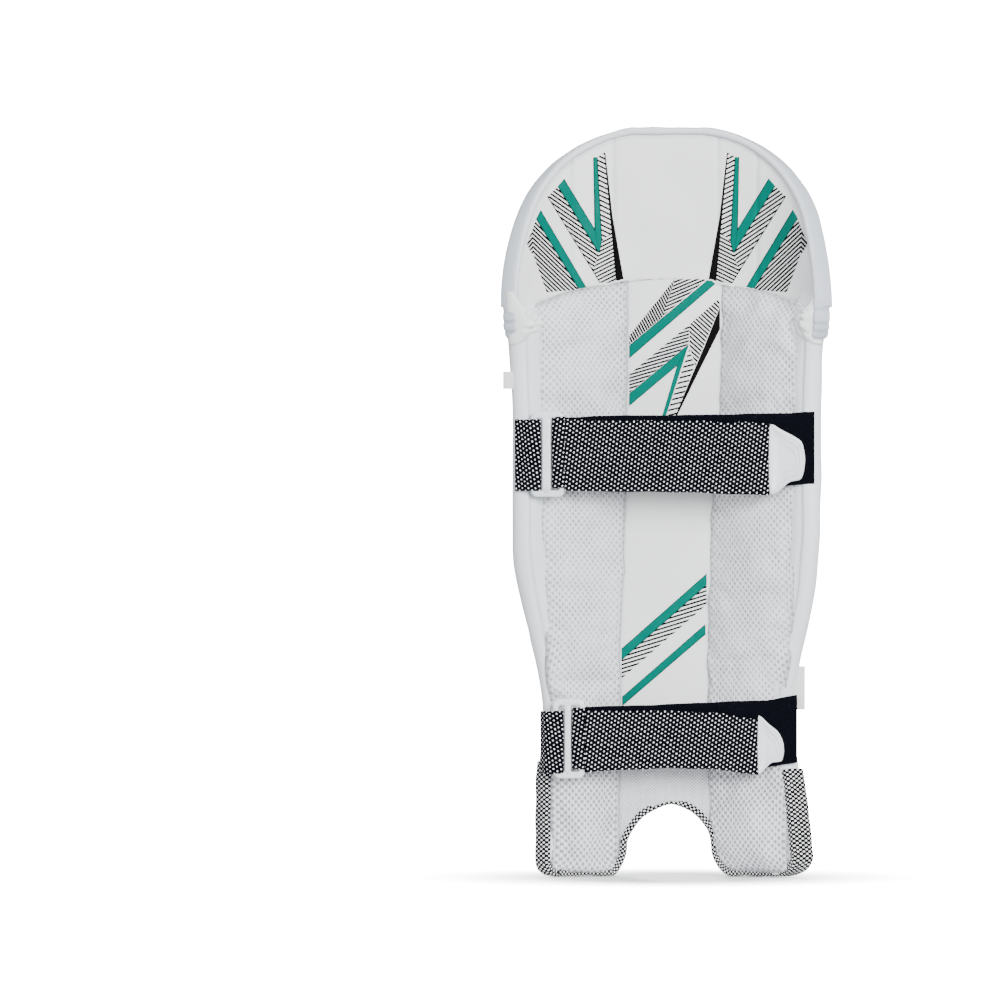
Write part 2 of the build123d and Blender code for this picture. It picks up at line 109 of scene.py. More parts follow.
# Edges in rear view, as (height, x)
PANEL_INNER = ((0, 39), (200, 38), (315, 33), (400, 32), (510, 31.5))
PANEL_OUTER = ((0, -38), (200, -35), (315, -39), (400, -46), (510, -47.5))
MESH_INNER = ((0, 95), (98, 97), (150, 98), (200, 101), (269, 107), (480, 112))
MESH_OUTER = ((0, -104), (98, -104), (150, -105), (200, -107), (269, -111), (480, -114))
MESH_LINES = {-1: MESH_OUTER, 1: MESH_INNER}
FOOT_TAPE_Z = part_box("side_tape_inner")[1].z / MM
TAPE_ARCH = 5.5             # width of the binding round the instep arch
FLAP_SEAMS = (-156, -116.5, -73.5, -32.5, 58, 100, 139.5)       # along the front of the knee flap
FLAP_CREASES = (-78, -45, 44, 79)   # x of the creases of its lining
PANEL_RISE = 6.0            # how far a panel of the knee flap stands proud
WELT_IN = 7.5               # distance of the knee flap's welt from its edge


# ---------------------------------------------------------------- plan curve and small maths
def smooth(t):
    """Ease from 0 to 1."""
    t = np.clip(t, 0, 1)
    return t * t * (3 - 2 * t)


def bulge(t):
    """Quarter circle from 0 at t=0 to 1 at t=1."""
    return np.sqrt(1 - (1 - np.clip(t, 0, 1)) ** 2)


def swell(f, rise):
    """Height of a padded tube between two seams, f from 0 to 1: rounded sides, low crown."""
    from_seam = np.minimum(f, 1 - f) * SEAM_STEP
    return rise * (.86 * bulge(from_seam / 12.5) + .14 * 4 * f * (1 - f))


def circle(count):
    """Angles of points spaced evenly round a circle."""
    return np.arange(count) * 2 * pi / count


def squared(wave, power):
    """A sine or cosine flattened toward a square wave, for bars with soft corners."""
    return np.sign(wave) * abs(wave) ** power


def ripple(a, b, size, seed):
    """Smooth uneven field between about -1 and 1, with waves about size long."""
    random = np.random.default_rng(seed)
    total = 0
    for _ in range(7):
        angle, phase = random.uniform(0, 2 * pi, 2)
        length = size * random.uniform(.7, 1.6)
        total = total + np.sin((a * cos(angle) + b * sin(angle)) * 2 * pi / length + phase)
    return total / 3.2


def lay(u, n, z):
    """Point at distance u along the face, depth n and height z."""
    u, n, z = np.broadcast_arrays(*(np.asarray(v, float) for v in (u, n, z)))
    turn = np.maximum(abs(u) - FLAT_HALF, 0) / WRAP_RADIUS
    across = np.minimum(abs(u), FLAT_HALF) + (WRAP_RADIUS - n) * np.sin(turn)
    y = FACE_Y + WRAP_RADIUS - (WRAP_RADIUS - n) * np.cos(turn)
    return np.stack([CENTRE_X + np.copysign(across, u), y, z], -1)


def along_face(x, n=0.0):
    """Distance u along the face of the point at x and depth n."""
    across = abs(np.asarray(x, float) - CENTRE_X) - FLAT_HALF
    bent = FLAT_HALF + WRAP_RADIUS * np.arcsin(np.clip(across / (WRAP_RADIUS - n), -1, 1))
    return np.copysign(np.where(across > 0, bent, across + FLAT_HALF), x - CENTRE_X)


def lay_x(x, n, z):
    """Point at x in front view, depth n and height z."""
    return lay(along_face(x, n), n, z)


def arc(start, through, end, count=24):
    """Points on the circle through three points."""
    a, b, c = (complex(*p) for p in (start, through, end))
    w = (c - a) / (b - a)
    if abs(w.imag) < 1e-6:
        return np.linspace(start, end, count)
    centre = (b - a) * (w - abs(w) ** 2) / (2j * w.imag) + a
    first, middle, last = (np.angle(p - centre) for p in (a, b, c))
    turn = (last - first) % (2 * pi)
    if (middle - first) % (2 * pi) > turn:
        turn -= 2 * pi
    angles = first + np.linspace(0, 1, count) * turn
    return np.stack([centre.real + abs(a - centre) * np.cos(angles),
                     centre.imag + abs(a - centre) * np.sin(angles)], 1)


def chain(arcs):
    """One line of points along joined arcs."""
    return np.concatenate([arc(*three)[:-1] for three in arcs] + [[arcs[-1][-1]]])


def even(points, step):
    """The same line with points about step apart."""
    points = np.asarray(points, float)
    run = np.concatenate([[0], np.cumsum(np.linalg.norm(np.diff(points, axis=0), axis=1))])
    stops = np.linspace(0, run[-1], max(2, int(round(run[-1] / step)) + 1))
    return np.stack([np.interp(stops, run, points[:, i]) for i in range(points.shape[1])], 1)


def height_at(x, arcs):
    """Height of a chain of arcs where it passes x."""
    line = chain(arcs)
    return np.interp(x, line[:, 0], line[:, 1])


def edge_at(z, stations):
    """Sideways place of an edge at height z, with its corners eased."""
    heights, places = np.array(stations, float).T
    near = [np.interp(np.asarray(z) + shift, heights, places) for shift in (-12, -6, 0, 6, 12)]
    return sum(near) / len(near)


# ---------------------------------------------------------------- mesh building
def grid_faces(rows, cols, first=0):
    """Four-sided faces over a grid of points whose numbers start at first."""
    corner = (np.arange(rows - 1)[:, None] * cols + np.arange(cols - 1)).ravel() + first
    return np.stack([corner, corner + 1, corner + cols + 1, corner + cols], 1)


def slab(front, back):
    """Closed shape between two grids of points: (points, faces, side of each face)."""
    rows, cols = front.shape[:2]
    count = rows * cols
    index = np.arange(count).reshape(rows, cols)
    ring = np.concatenate([index[0], index[1:, -1], index[-1, -2::-1], index[-2:0:-1, 0]])
    after = np.roll(ring, -1)
    edge = np.stack([ring, ring + count, after + count, after], 1)
    faces = [grid_faces(rows, cols), grid_faces(rows, cols, count)[:, ::-1], edge]
    sides = np.repeat([0, 1, 0], [len(f) for f in faces])
    points = np.concatenate([front.reshape(-1, 3), back.reshape(-1, 3)])
    return points, np.concatenate(faces).tolist(), sides


def loft(loops, closed=False):
    """Closed shape through loops of points; closed joins the last loop to the first."""
    loops = np.asarray(loops, float)
    count, size = loops.shape[:2]
    here = np.arange(count if closed else count - 1)[:, None] * size
    there = (here + size) % (count * size)
    i = np.arange(size)
    j = (i + 1) % size
    faces = np.stack([here + i, here + j, there + j, there + i], -1).reshape(-1, 4).tolist()
    if not closed:
        faces += [list(range(size))[::-1], list(range((count - 1) * size, count * size))]
    return loops.reshape(-1, 3), faces, np.zeros(len(faces), int)


def merge(shapes):
    """Several shapes as one."""
    points, faces, sides, first = [], [], [], 0
    for p, f, s in shapes:
        points.append(p)
        faces += [[v + first for v in face] for face in f]
        sides.append(s)
        first += len(p)
    return np.concatenate(points), faces, np.concatenate(sides)


def apply_modifiers(piece):
    """Replace the mesh by what its modifiers make of it."""
    evaluated = piece.evaluated_get(bpy.context.evaluated_depsgraph_get())
    mesh = bpy.data.meshes.new_from_object(evaluated)
    piece.modifiers.clear()
    piece.data = mesh


def make(name, shape, looks, weave=None, shade_and_wear=None):
    """Mesh piece from a shape in millimetres. looks is a material, or one for each side number."""
    points, faces, sides = shape
    mesh = bpy.data.meshes.new(name)
    mesh.from_pydata(points * MM, [], faces)
    for look in looks if isinstance(looks, (list, tuple)) else [looks]:
        mesh.materials.append(look)
    if len(mesh.materials) > 1:
        mesh.polygons.foreach_set("material_index", sides)
    mesh.shade_smooth()
    if weave is not None:
        layer = mesh.attributes.new("weave", "FLOAT_VECTOR", "POINT")
        layer.data.foreach_set("vector", np.asarray(weave, np.float32).ravel())
    # per-point painted shade in seams, grooves and creases, and real fraying on the top hem
    if shade_and_wear is not None:
        layer = mesh.attributes.new("shade_and_wear", "FLOAT", "POINT")
        layer.data.foreach_set("value", np.asarray(shade_and_wear, np.float32).ravel())
    net = bmesh.new()
    net.from_mesh(mesh)
    bmesh.ops.remove_doubles(net, verts=net.verts, dist=1e-6)
    bmesh.ops.recalc_face_normals(net, faces=net.faces)
    net.to_mesh(mesh)
    net.free()
    piece = bpy.data.objects.new(name, mesh)
    bpy.context.scene.collection.objects.link(piece)
    return piece


def fit(piece, body, slot, *nodes):
    """Ride on a body and stand for CAD nodes, which it hides. slot, the finish, is not used."""
    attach(piece, body)
    if nodes:
        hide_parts(*nodes)


def flat_weave(across, along):
    """Weave coordinates for both grids of a slab."""
    across, along = np.broadcast_arrays(across, along)
    one = np.stack([across, along, np.zeros_like(across)], -1).reshape(-1, 3)
    return np.concatenate([one, one])


def front_only(shade_and_wear):
    """Painted shade for a slab: as given on its first grid and none on its second."""
    return np.concatenate([np.ravel(shade_and_wear), np.zeros(np.size(shade_and_wear))])


def tangents(path):
    """Unit tangent at each point of a path."""
    tangent = np.gradient(path, axis=0)
    return tangent / np.maximum(np.linalg.norm(tangent, axis=1, keepdims=True), 1e-9)


def left_of(path):
    """Unit vector to the left of a flat path at each of its points."""
    tangent = tangents(path)
    return np.stack([-tangent[:, 1], tangent[:, 0]], 1)


def stitch_row(path, normal, length, radius):
    """Short threads along a path, lying on the surface whose outward normal is given."""
    path = even(path, NEEDLE)
    tangent = tangents(path)
    side = np.cross(tangent, np.broadcast_to(normal, path.shape))
    side /= np.maximum(np.linalg.norm(side, axis=1, keepdims=True), 1e-9)
    out = np.cross(side, tangent)
    shapes = []
    ends = ((-1, .15), (-.75, .8), (0, 1), (.75, .8), (1, .15))     # (share of the length, of the radius)
    for place, ahead, aside, up in zip(path, tangent, side, out):
        loops = [[place + ahead * along * length / 2 + up * (.15 - .3 * abs(along))
                  + (aside * cos(a) + up * sin(a)) * size * radius for a in circle(6)]
                 for along, size in ends]
        shapes.append(loft(loops))
    return shapes


# ---------------------------------------------------------------- materials
class Look:
    """Procedural material being put together, node by node."""

    def __init__(self, name, colour, roughness, **sockets):
        self.material = bpy.data.materials.new(name)
        self.material.use_nodes = True
        self.tree = self.material.node_tree
        self.shader = self.tree.nodes["Principled BSDF"]
        self.shader.inputs["Base Color"].default_value = (*colour, 1)
        self.shader.inputs["Roughness"].default_value = roughness
        for socket, value in sockets.items():
            self.shader.inputs[socket.replace("_", " ")].default_value = value

    def node(self, kind, *inputs, out=0, **settings):
        """Add a node, feed its first inputs and return one of its outputs."""
        node = self.tree.nodes.new("ShaderNode" + kind)
        for setting, value in settings.items():
            setattr(node, setting, value)
        for socket, value in zip(node.inputs, inputs):
            if value is None:
                continue
            if isinstance(value, bpy.types.NodeSocket):
                self.tree.links.new(value, socket)
            else:
                socket.default_value = value
        return node.outputs[out]

    def math(self, operation, *inputs):
        """Sum, product or other function of numbers and sockets."""
        return self.node("Math", *inputs, operation=operation)

    def place(self):
        """Object coordinates, in metres."""
        return self.node("TexCoord", out=3)

    def weave(self):
        """Weave coordinates, in millimetres: across, along."""
        vector = self.node("Attribute", attribute_name="weave", out=1)
        split = self.node("SeparateXYZ", vector)
        return split, split.node.outputs[1]

    def shade_and_wear(self):
        """How much painted shade a place gets in seams, grooves, creases and on tube flanks, or how frayed it
        is, from 0 to 1.
        """
        return self.node("Attribute", attribute_name="shade_and_wear", out=2)

    def noise(self, scale, detail):
        """Uneven value about .5, with scale spots to a metre."""
        return self.node("TexNoise", self.place(), None, scale, detail)

    def ramp(self, value, low, high):
        """Value stretched so that low gives 0 and high gives 1."""
        return self.node("MapRange", value, low, high, 0.0, 1.0)

    def blend(self, factor, low, high):
        """Colour between two colours or colour sockets."""
        node = self.tree.nodes.new("ShaderNodeMix")
        node.data_type = "RGBA"
        for index, value in ((0, factor), (6, low), (7, high)):
            if isinstance(value, bpy.types.NodeSocket):
                self.tree.links.new(value, node.inputs[index])
            else:
                node.inputs[index].default_value = value if index == 0 else (*value, 1)
        return node.outputs[2]

    def colour(self, socket):
        """Take the colour from a socket."""
        self.tree.links.new(socket, self.shader.inputs["Base Color"])

    def rough(self, socket):
        """Take the roughness from a socket."""
        self.tree.links.new(socket, self.shader.inputs["Roughness"])

    def bump(self, height, strength, distance):
        """Bump whose height socket runs from 0 to 1 over distance in millimetres."""
        before = self.shader.inputs["Normal"].links
        node = self.tree.nodes.new("ShaderNodeBump")
        node.inputs["Strength"].default_value = strength
        node.inputs["Distance"].default_value = distance * MM
        self.tree.links.new(height, node.inputs["Height"])
        if before:
            self.tree.links.new(before[0].from_socket, node.inputs["Normal"])
        self.tree.links.new(node.outputs[0], self.shader.inputs["Normal"])


def leather(name, light, shade, seam):
    """Coated fabric: fine grain, faint smudges, and painted shade in seams, grooves and creases, blended
    toward the seam colour by the per-point attribute, which also marks real fraying.
    """
    look = Look(name, light, .5, Specular_IOR_Level=.35)
    smudge = look.ramp(look.noise(9, 4), .35, .7)
    tone = look.blend(smudge, light, shade)
    look.colour(look.blend(look.shade_and_wear(), tone, seam))
    look.rough(look.ramp(look.noise(160, 3), -.9, 1.9))
    look.bump(look.noise(1500, 2), .22, .25)
    look.bump(look.noise(130, 3), .3, .6)
    return look.material


def knit(name, light, dark, cell, contrast):
    """Diamond-knit spacer mesh in its weave coordinates. cell is its repeat across and along."""
    look = Look(name, light, .75)
    across, along = look.weave()
    wobble = look.math("MULTIPLY_ADD", look.noise(70, 2), 1.2, -.6)

    def wave(value, length):
        shifted = look.math("ADD", value, wobble)
        return look.math("COSINE", look.math("MULTIPLY", shifted, 2 * pi / length))

    holes = look.ramp(look.math("MULTIPLY", wave(across, cell[0]), wave(along, cell[1])), -.15, .8)
    ribs = look.ramp(wave(across, cell[0] * .42), .2, 1.2)
    cloudy = look.ramp(look.noise(38, 3), .3, .75)
    yarn = look.blend(cloudy, light, tuple(c * .95 for c in light))
    pattern = look.math("MULTIPLY_ADD", ribs, .5, holes)
    open_foot = look.math("MULTIPLY_ADD", look.ramp(along, LEVEL_Z, LEVEL_Z - 30), .8, 1.0)
    uneven = look.math("MULTIPLY_ADD", cloudy, contrast * .6, contrast * .6)
    amount = look.math("MULTIPLY", uneven, open_foot)
    tone = look.blend(look.math("MULTIPLY", pattern, amount), yarn, dark)
    # painted shade: the per-point attribute blends the knit toward its dark colour along its seams
    look.colour(look.blend(look.shade_and_wear(), tone, dark))
    height = look.math("SUBTRACT", 1.0, pattern)
    look.bump(height, .8, .8)
    look.bump(look.noise(2600, 2), .25, .2)
    return look.material


def dotted(name):
    """Navy webbing with raised white dots in a hexagonal lattice."""
    pitch_along, pitch_up, radius, lean = 2.95, 3.75, .64, -.14
    look = Look(name, (.002, .003, .008), .9, Specular_IOR_Level=.04)
    across, along = look.weave()
    across = look.math("MULTIPLY_ADD", along, lean, across)
    jitter = look.math("MULTIPLY_ADD", look.noise(220, 2), 1.5, -.75)

    def lattice(shift):
        column = look.math("ADD", look.math("MULTIPLY", across, 1 / (2 * pitch_along)), shift)
        raised = look.math("ADD", along, jitter)
        row = look.math("ADD", look.math("MULTIPLY", raised, 1 / pitch_up), shift)
        offsets = []
        for value, pitch in ((column, 2 * pitch_along), (row, pitch_up)):
            centred = look.math("SUBTRACT", look.math("FRACT", value), .5)
            offsets.append(look.math("MULTIPLY", centred, pitch))
        square = [look.math("MULTIPLY", value, value) for value in offsets]
        return look.math("SQRT", look.math("ADD", *square))

    distance = look.math("MINIMUM", lattice(0.0), lattice(.5))
    uneven = look.math("MULTIPLY_ADD", look.noise(500, 1), .5, -.25)
    dot = look.ramp(look.math("ADD", distance, uneven), radius + .16, radius - .2)
    thread = look.noise(1800, 2)
    navy = look.blend(look.ramp(thread, .35, .7), (.0002, .0003, .001), (.002, .0025, .006))
    look.colour(look.blend(dot, navy, (.93, .94, .95)))
    look.bump(dot, .6, .45)
    look.bump(thread, .5, .3)
    return look.material


def pile(name, dark, light):
    """Napped loop fabric."""
    look = Look(name, dark, 1.0, Specular_IOR_Level=.03, Sheen_Weight=.015, Sheen_Roughness=.6)
    fuzz = look.noise(1400, 4)
    lint = look.ramp(look.noise(420, 5), .66, .8)
    tone = look.blend(look.ramp(fuzz, .35, .7), dark, light)
    look.colour(look.blend(look.math("MULTIPLY", lint, .12), tone, (.12, .13, .17)))
    look.bump(fuzz, .9, .7)
    return look.material


def chequer(name):
    """Woven binding with black and white checks."""
    square = 1.9
    look = Look(name, (.8, .8, .8), .7, Specular_IOR_Level=.08)
    across, along = look.weave()
    jitter = look.math("MULTIPLY_ADD", look.noise(260, 2), .9, -.45)

    def wave(value):
        shifted = look.math("ADD", value, jitter)
        return look.math("SINE", look.math("MULTIPLY", shifted, pi / square))

    cell = look.math("MULTIPLY", wave(across), wave(along))
    dark = look.ramp(cell, .40, .20)
    look.colour(look.blend(dark, (.88, .89, .90), (.0006, .0007, .001)))
    look.bump(look.math("ABSOLUTE", cell), .6, .4)
    look.bump(look.noise(2200, 2), .35, .2)
    return look.material


def moulded(name, colour, roughness, **sockets):
    """Moulded plastic with a fine satin skin."""
    look = Look(name, colour, roughness, **sockets)
    tone = look.ramp(look.noise(60, 3), .3, .75)
    look.colour(look.blend(tone, colour, tuple(c * .9 for c in colour)))
    look.rough(look.math("MULTIPLY_ADD", look.noise(300, 3), .16, roughness - .08))
    look.bump(look.noise(900, 2), .12, .15)
    return look.material


def printed(name, colour):
    """Printed film on coated fabric."""
    look = Look(name, colour, .6, Specular_IOR_Level=.03)
    fade = look.ramp(look.noise(70, 3), .45, .8)
    look.colour(look.blend(fade, colour, tuple(c * 1.12 for c in colour)))
    look.bump(look.noise(1500, 2), .2, .2)
    return look.material


def thread(name, colour):
    """Twisted yarn."""
    look = Look(name, colour, .55)
    twist = look.noise(1700, 1)
    look.colour(look.blend(look.ramp(twist, .3, .7), colour, tuple(c * .75 for c in colour)))
    look.bump(twist, .5, .2)
    return look.material


# The third colour of each coated fabric is its painted shade, for seams, grooves and creases.
PU_WHITE = leather("pu_cover", (.72, .76, .785), (.67, .71, .745), (.43, .47, .53))
LINING_WHITE = leather("lining_pu", (.78, .785, .78), (.73, .74, .74), (.5, .52, .54))
KNIT = knit("mesh_knit", (.82, .83, .85), (.27, .285, .32), cell=(6.8, 6.1), contrast=.72)
FINE_KNIT = knit("fine_knit", (.80, .81, .83), (.36, .38, .42), cell=(3.0, 2.7), contrast=.4)
PIPING = leather("piping", (.63, .67, .705), (.58, .62, .66), (.30, .34, .40))
CHECKS = chequer("check_tape")
DOTS = dotted("dot_webbing")
PILE = pile("loop_pile", (.0004, .0005, .0014), (.0026, .003, .007))
HOOKS = pile("hook_tape", (.004, .004, .005), (.012, .013, .014))
PLASTIC = moulded("moulded_white", (.74, .76, .78), .32, Coat_Weight=.25, Coat_Roughness=.2)
RIM = moulded("badge_rim", (.50, .55, .66), .2, Coat_Weight=.6, Coat_Roughness=.1)
PLATE = moulded("badge_plate", (.60, .67, .76), .28, Coat_Weight=.6, Coat_Roughness=.12)
DARK_METAL = moulded("badge_ribs", (.05, .055, .07), .28, Metallic=.6)
RIBBON = thread("label_ribbon", (.78, .78, .77))
TEAL = printed("teal_print", (0, .115, .088))
BLACK = printed("black_print", (.002, .0018, .0018))
# Stitches coloured near black to stand for the shadow in the needle holes: painted shade.
STITCH_SHADOW = thread("needle_shadow", (.10, .115, .14))


# ---------------------------------------------------------------- front of the shin guard
def distance_to(line, across, z):
    """Distance from each point to a line, both in one plane."""
    line = even(line, 1.5)
    flat = np.stack([np.ravel(across), np.ravel(z)], 1)
    nearest = np.full(len(flat), 1e9)
    for start in range(0, len(line), 40):
        gap = flat[:, None] - line[None, start:start + 40]
        nearest = np.minimum(nearest, np.einsum("ijk,ijk->ij", gap, gap).min(1))
    return np.sqrt(nearest).reshape(np.shape(across))


def outline_distance(x, z):
    """Distance from the lower outline of the pad in front view."""
    bottom = chain(BOTTOM)
    return distance_to(np.concatenate([[(-127, 60)], bottom, [(109, 60)]]), x, z)


def seam_place(z):
    """Distance along the face of the seven tube seams at height z."""
    z = np.asarray(z, float)
    spread = smooth((z - 440) / 44)[..., None]
    seams = np.arange(-3, 4) * SEAM_STEP + np.array(SEAM_FAN) * spread
    inner = along_face(edge_at(z, INNER_SIDE))[..., None] - 3.5
    outer = along_face(edge_at(z, OUTER_SIDE))[..., None] + 3.5
    return np.clip(seams, outer, inner)


def tube_height(index, f, x, z):
    """How far the cover stands proud in tube index at fraction f across it."""
    middle = (index == 2) | (index == 3)
    off_centre = abs(2 * f - 1)
    foot = np.where(middle, MIDDLE_FOOT_Z, -30) + 10 * off_centre ** 5
    rounding = bulge((z - foot) / 11) * np.where(middle, 1, bulge((outline_distance(x, z) - 7) / 15))
    tube = swell(f, TUBE_RISE) * rounding
    roll_end = ROLL_Z - 1 + 13 * off_centre ** 2.6
    above = z - roll_end
    roll = swell(f, ROLL_RISE) * bulge(above / 9) * (.42 + .58 * bulge((KNEE_Z + 1 - z) / 12))
    tuck = 1 - .28 * np.exp(-((above + 2) / 5) ** 2)
    return np.where(above > 0, np.maximum(roll, tube * tuck * .9), tube * tuck)


def row_heights(foot_x, share):
    """Heights of the rows of the cover: fitted to the foot outline, level from LEVEL_Z up."""
    low = height_at(foot_x, BOTTOM) + 1
    foot = low + (LEVEL_Z - low) * share / FOOT_SHARE
    above = LEVEL_Z + (KNEE_Z - LEVEL_Z) * (share - FOOT_SHARE) / (1 - FOOT_SHARE)
    return np.where(share < FOOT_SHARE, foot, above)


def wing_edge(z, side):
    """Unrolled place of a wing's free edge, and the depth of its back."""
    edge = abs(along_face(edge_at(z, SIDE_LINES[side]), EDGE_N[side]))
    back = np.full(np.shape(z), WING_BACK)
    if side > 0:
        back = np.interp(z, (165, 235), (LINING_N + .6, WING_BACK))
    return edge, back


def wing_inset(q, span):
    """Distance in from the free edge of a wing: its rounded edge takes a third of the columns."""
    radius = np.minimum(WING_ROUND, span * .8)
    rounded_part = radius * (1 - np.cos(np.clip(q * 3, 0, 1) * pi / 2))
    return np.where(q < 1 / 3, rounded_part, radius + (span - radius) * (q - 1 / 3) * 1.5)


def tube_cover(share):
    """Cover over the six tubes: front and back grids, and the painted shade of each, in the seam grooves and
    on the tube flanks.
    """
    tube_cols = 28
    f = .5 - .5 * np.cos(np.linspace(0, pi, tube_cols + 1)[:-1])
    p = np.concatenate([k + f for k in range(6)] + [[6]])
    z = row_heights(lay(p * SEAM_STEP - WING_SEAM, 0, 0)[:, 0], share)
    seams = seam_place(z)
    k = np.broadcast_to(np.minimum(p.astype(int), 5), z.shape)
    here = np.take_along_axis(seams, k[..., None], 2)[..., 0]
    there = np.take_along_axis(seams, k[..., None] + 1, 2)[..., 0]
    frac = p - k
    u = here + (there - here) * frac
    height = tube_height(k, frac, lay(u, -SKIN, z)[..., 0], z)
    near_seam = (frac * (1 - frac)) * 4
    pucker = .28 * np.sin(z * 2 * pi / 9 + 5 * ripple(z, k, 60, 3)) * np.exp(-near_seam * 5)
    soft = .55 * ripple(u * 2.2, z, 70, 11) * near_seam
    n = -SKIN - height - (soft + pucker) * np.minimum(height / 6, 1)
    n = n - .35 * ripple(u, z, 28, 19) * (height < 1)
    groove = np.exp(-(near_seam / .10) ** 2)
    # painted shade: a faint shade on the flanks of each tube, and dark in the seam grooves
    flank_shade = .12 * (height > 1) * np.clip(1 - near_seam * 1.5, 0, 1)
    shade_and_wear = .75 * groove * (.7 + .3 * ripple(u, z, 30, 5)) + flank_shade
    return lay(u, n + .5 * groove, z), lay(u, LINING_N, z), shade_and_wear, np.zeros_like(z)


def wing_cover(side, share):
    """Cover of one wing, from its free edge to the tube seam: grids and painted shade as above."""
    q = np.linspace(0, 1, 36)          # 0 at the free edge, 1 at the tube seam
    foot_edge = wing_edge(14, side)[0]
    foot_u = foot_edge - wing_inset(q, foot_edge - WING_SEAM)
    z = row_heights(lay(side * foot_u, EDGE_N[side], 0)[:, 0], share)
    edge_u, thick = wing_edge(z, side)
    span = edge_u - abs(seam_place(z)[..., 0 if side < 0 else 6])
    deep = np.sin(np.clip(q * 3, 0, 1) * pi / 2)
    inset = wing_inset(q, span)
    middle = (thick - SKIN) / 2
    half = (thick + SKIN) / 2
    swollen = np.sin(pi * np.clip((inset - 4) / np.maximum(span - 4, 1), 0, 1))
    puff = 2.6 * swollen * smooth((z - 40) / 60)
    welt = np.exp(-((inset - 9) / 1.1) ** 2)
    loose = .6 * ripple(inset * 2, z, 55, 31 + side)
    n_front = middle - half * deep - (puff + loose) * deep + .8 * welt * deep
    grid = lay(side * (edge_u - inset), n_front, z)

    # the back of the wing runs on from the free edge to the root of the bolster
    mesh_x = edge_at(z, MESH_LINES[side])
    roll_width = np.maximum(abs(edge_at(z, SIDE_LINES[side])) - abs(mesh_x), 9)
    root_back = WING_SEAM - 4 if side < 0 else np.minimum(WING_SEAM - 4, edge_u - 12)
    inset_back = wing_inset(q, edge_u - root_back)
    rolled = np.sin(pi * np.clip((inset_back - 6) / (roll_width * 1.25), 0, 1))
    roll = 3.2 * rolled * smooth((z - 110) / 50)
    welt_back = np.exp(-((inset_back - 7) / 1.2) ** 2) * smooth((z - 100) / 30)
    loose_back = .5 * ripple(inset_back * 2, z, 60, 41 + side)
    n_back = middle + half * deep + (roll + loose_back) * deep - 1.1 * welt_back
    grid_back = lay(side * (edge_u - inset_back), n_back, z)
    # painted shade along the welts and in the seam with the outermost tube
    shade_and_wear = .55 * welt + .5 * np.exp(-(span - inset) / 1.2) * (q > .5)
    return grid, grid_back, shade_and_wear, .6 * welt_back


def shin_body():
    """Cover of the front and of both wings, closed behind by the lining."""
    share = np.linspace(0, 1, 270)[:, None]
    outer, tubes, inner = wing_cover(-1, share), tube_cover(share), wing_cover(1, share)
    front, back, front_shade, back_shade = (np.concatenate([a, b[:, 1:-1], c[:, ::-1]], 1)
                                          for a, b, c in zip(outer, tubes, inner))
    # painted shade of the tube and wing covers, in the seams, welts and on the tube flanks
    shade_and_wear = np.clip(np.concatenate([front_shade.ravel(), back_shade.ravel()]), 0, 1)
    piece = make("shin_cover", slab(front, back), PU_WHITE, shade_and_wear=shade_and_wear)
    cores = [f"{kind}_{i}" for kind in ("tube_core", "knee_roll") for i in range(1, 7)]
    fit(piece, "shin_guard", "pu_cover", "shin_facing", "shin_board", "shin_lining",
        "wing_cover_outer", "wing_cover_inner", "wing_foam_outer", "wing_foam_inner", *cores)


def shin_stitches():
    """Needle marks down the tube seams, along the knee seam and above the flat panel, as dark threads that
    paint the shadow in the needle holes.
    """
    def outward(u):
        return (lay(u, -10, 0) - lay(u, 0, 0)).mean(0)

    shapes = []
    for k in range(1, 6):
        z = np.linspace(66 if k == 3 else 16, KNEE_Z - 3, 160)
        u = seam_place(z)[:, k]
        keep = outline_distance(lay(u, 0, z)[:, 0], z) > 8
        path = lay(u, -SKIN + .1, z)[keep]
        shapes += stitch_row(path, outward(u[keep]), length=1.3, radius=.5)
    for k in (0, 6):
        z = np.linspace(100, KNEE_Z - 3, 160)
        u = seam_place(z)[:, k]
        shapes += stitch_row(lay(u, -SKIN - .1, z), outward(u), length=1.3, radius=.45)
    for part in np.split(np.linspace(-110, 112, 120), 3):
        shapes += stitch_row(lay(part, -SKIN - 6.2, KNEE_Z - .4), outward(part), length=1.7, radius=.4)
    fit(make("shin_stitches", merge(shapes), STITCH_SHADOW), "shin_guard", "pu_cover")


shin_body()
shin_stitches()


# ---------------------------------------------------------------- bolsters
FRAMES = 20                 # frames for which a bolster is blown up
BOLSTER_RISE = 14           # how far a bolster stands proud of the line between its two seams
WIDE_TAPE = 4.0             # room left for the binding along the foot
NARROW_TAPE = 2.2           # room left at the free edge above it


def inflate(piece, pinned, pressure, cap):
    """Blow the piece up as pinned cloth and keep the result, no point moved more than cap mm."""
    rest = np.array([v.co for v in piece.data.vertices])
    group = piece.vertex_groups.new(name="pinned")
    group.add(np.flatnonzero(pinned).tolist(), 1.0, "REPLACE")
    cloth = piece.modifiers.new("Cloth", "CLOTH")
    cloth.settings.vertex_group_mass = "pinned"
    cloth.settings.use_pressure = True
    cloth.settings.uniform_pressure_force = pressure
    cloth.settings.shrink_min = -.035
    cloth.settings.tension_stiffness = 20
    cloth.settings.compression_stiffness = 20
    cloth.settings.bending_stiffness = .35
    cloth.settings.quality = 6
    cloth.settings.effector_weights.gravity = 0
    cloth.point_cache.frame_end = FRAMES
    for step in range(1, FRAMES + 1):
        bpy.context.scene.frame_set(step)
    evaluated = piece.evaluated_get(bpy.context.evaluated_depsgraph_get())
    moved = np.array([v.co for v in evaluated.data.vertices])
    piece.modifiers.clear()
    piece.vertex_groups.clear()
    bpy.context.scene.frame_set(1)
    shift = moved - rest
    length = np.linalg.norm(shift, axis=1, keepdims=True)
    shift *= np.minimum(1, cap * MM / np.maximum(length, 1e-9))
    piece.data.vertices.foreach_set("co", (rest + shift).astype(np.float32).ravel())
    piece.data.update()


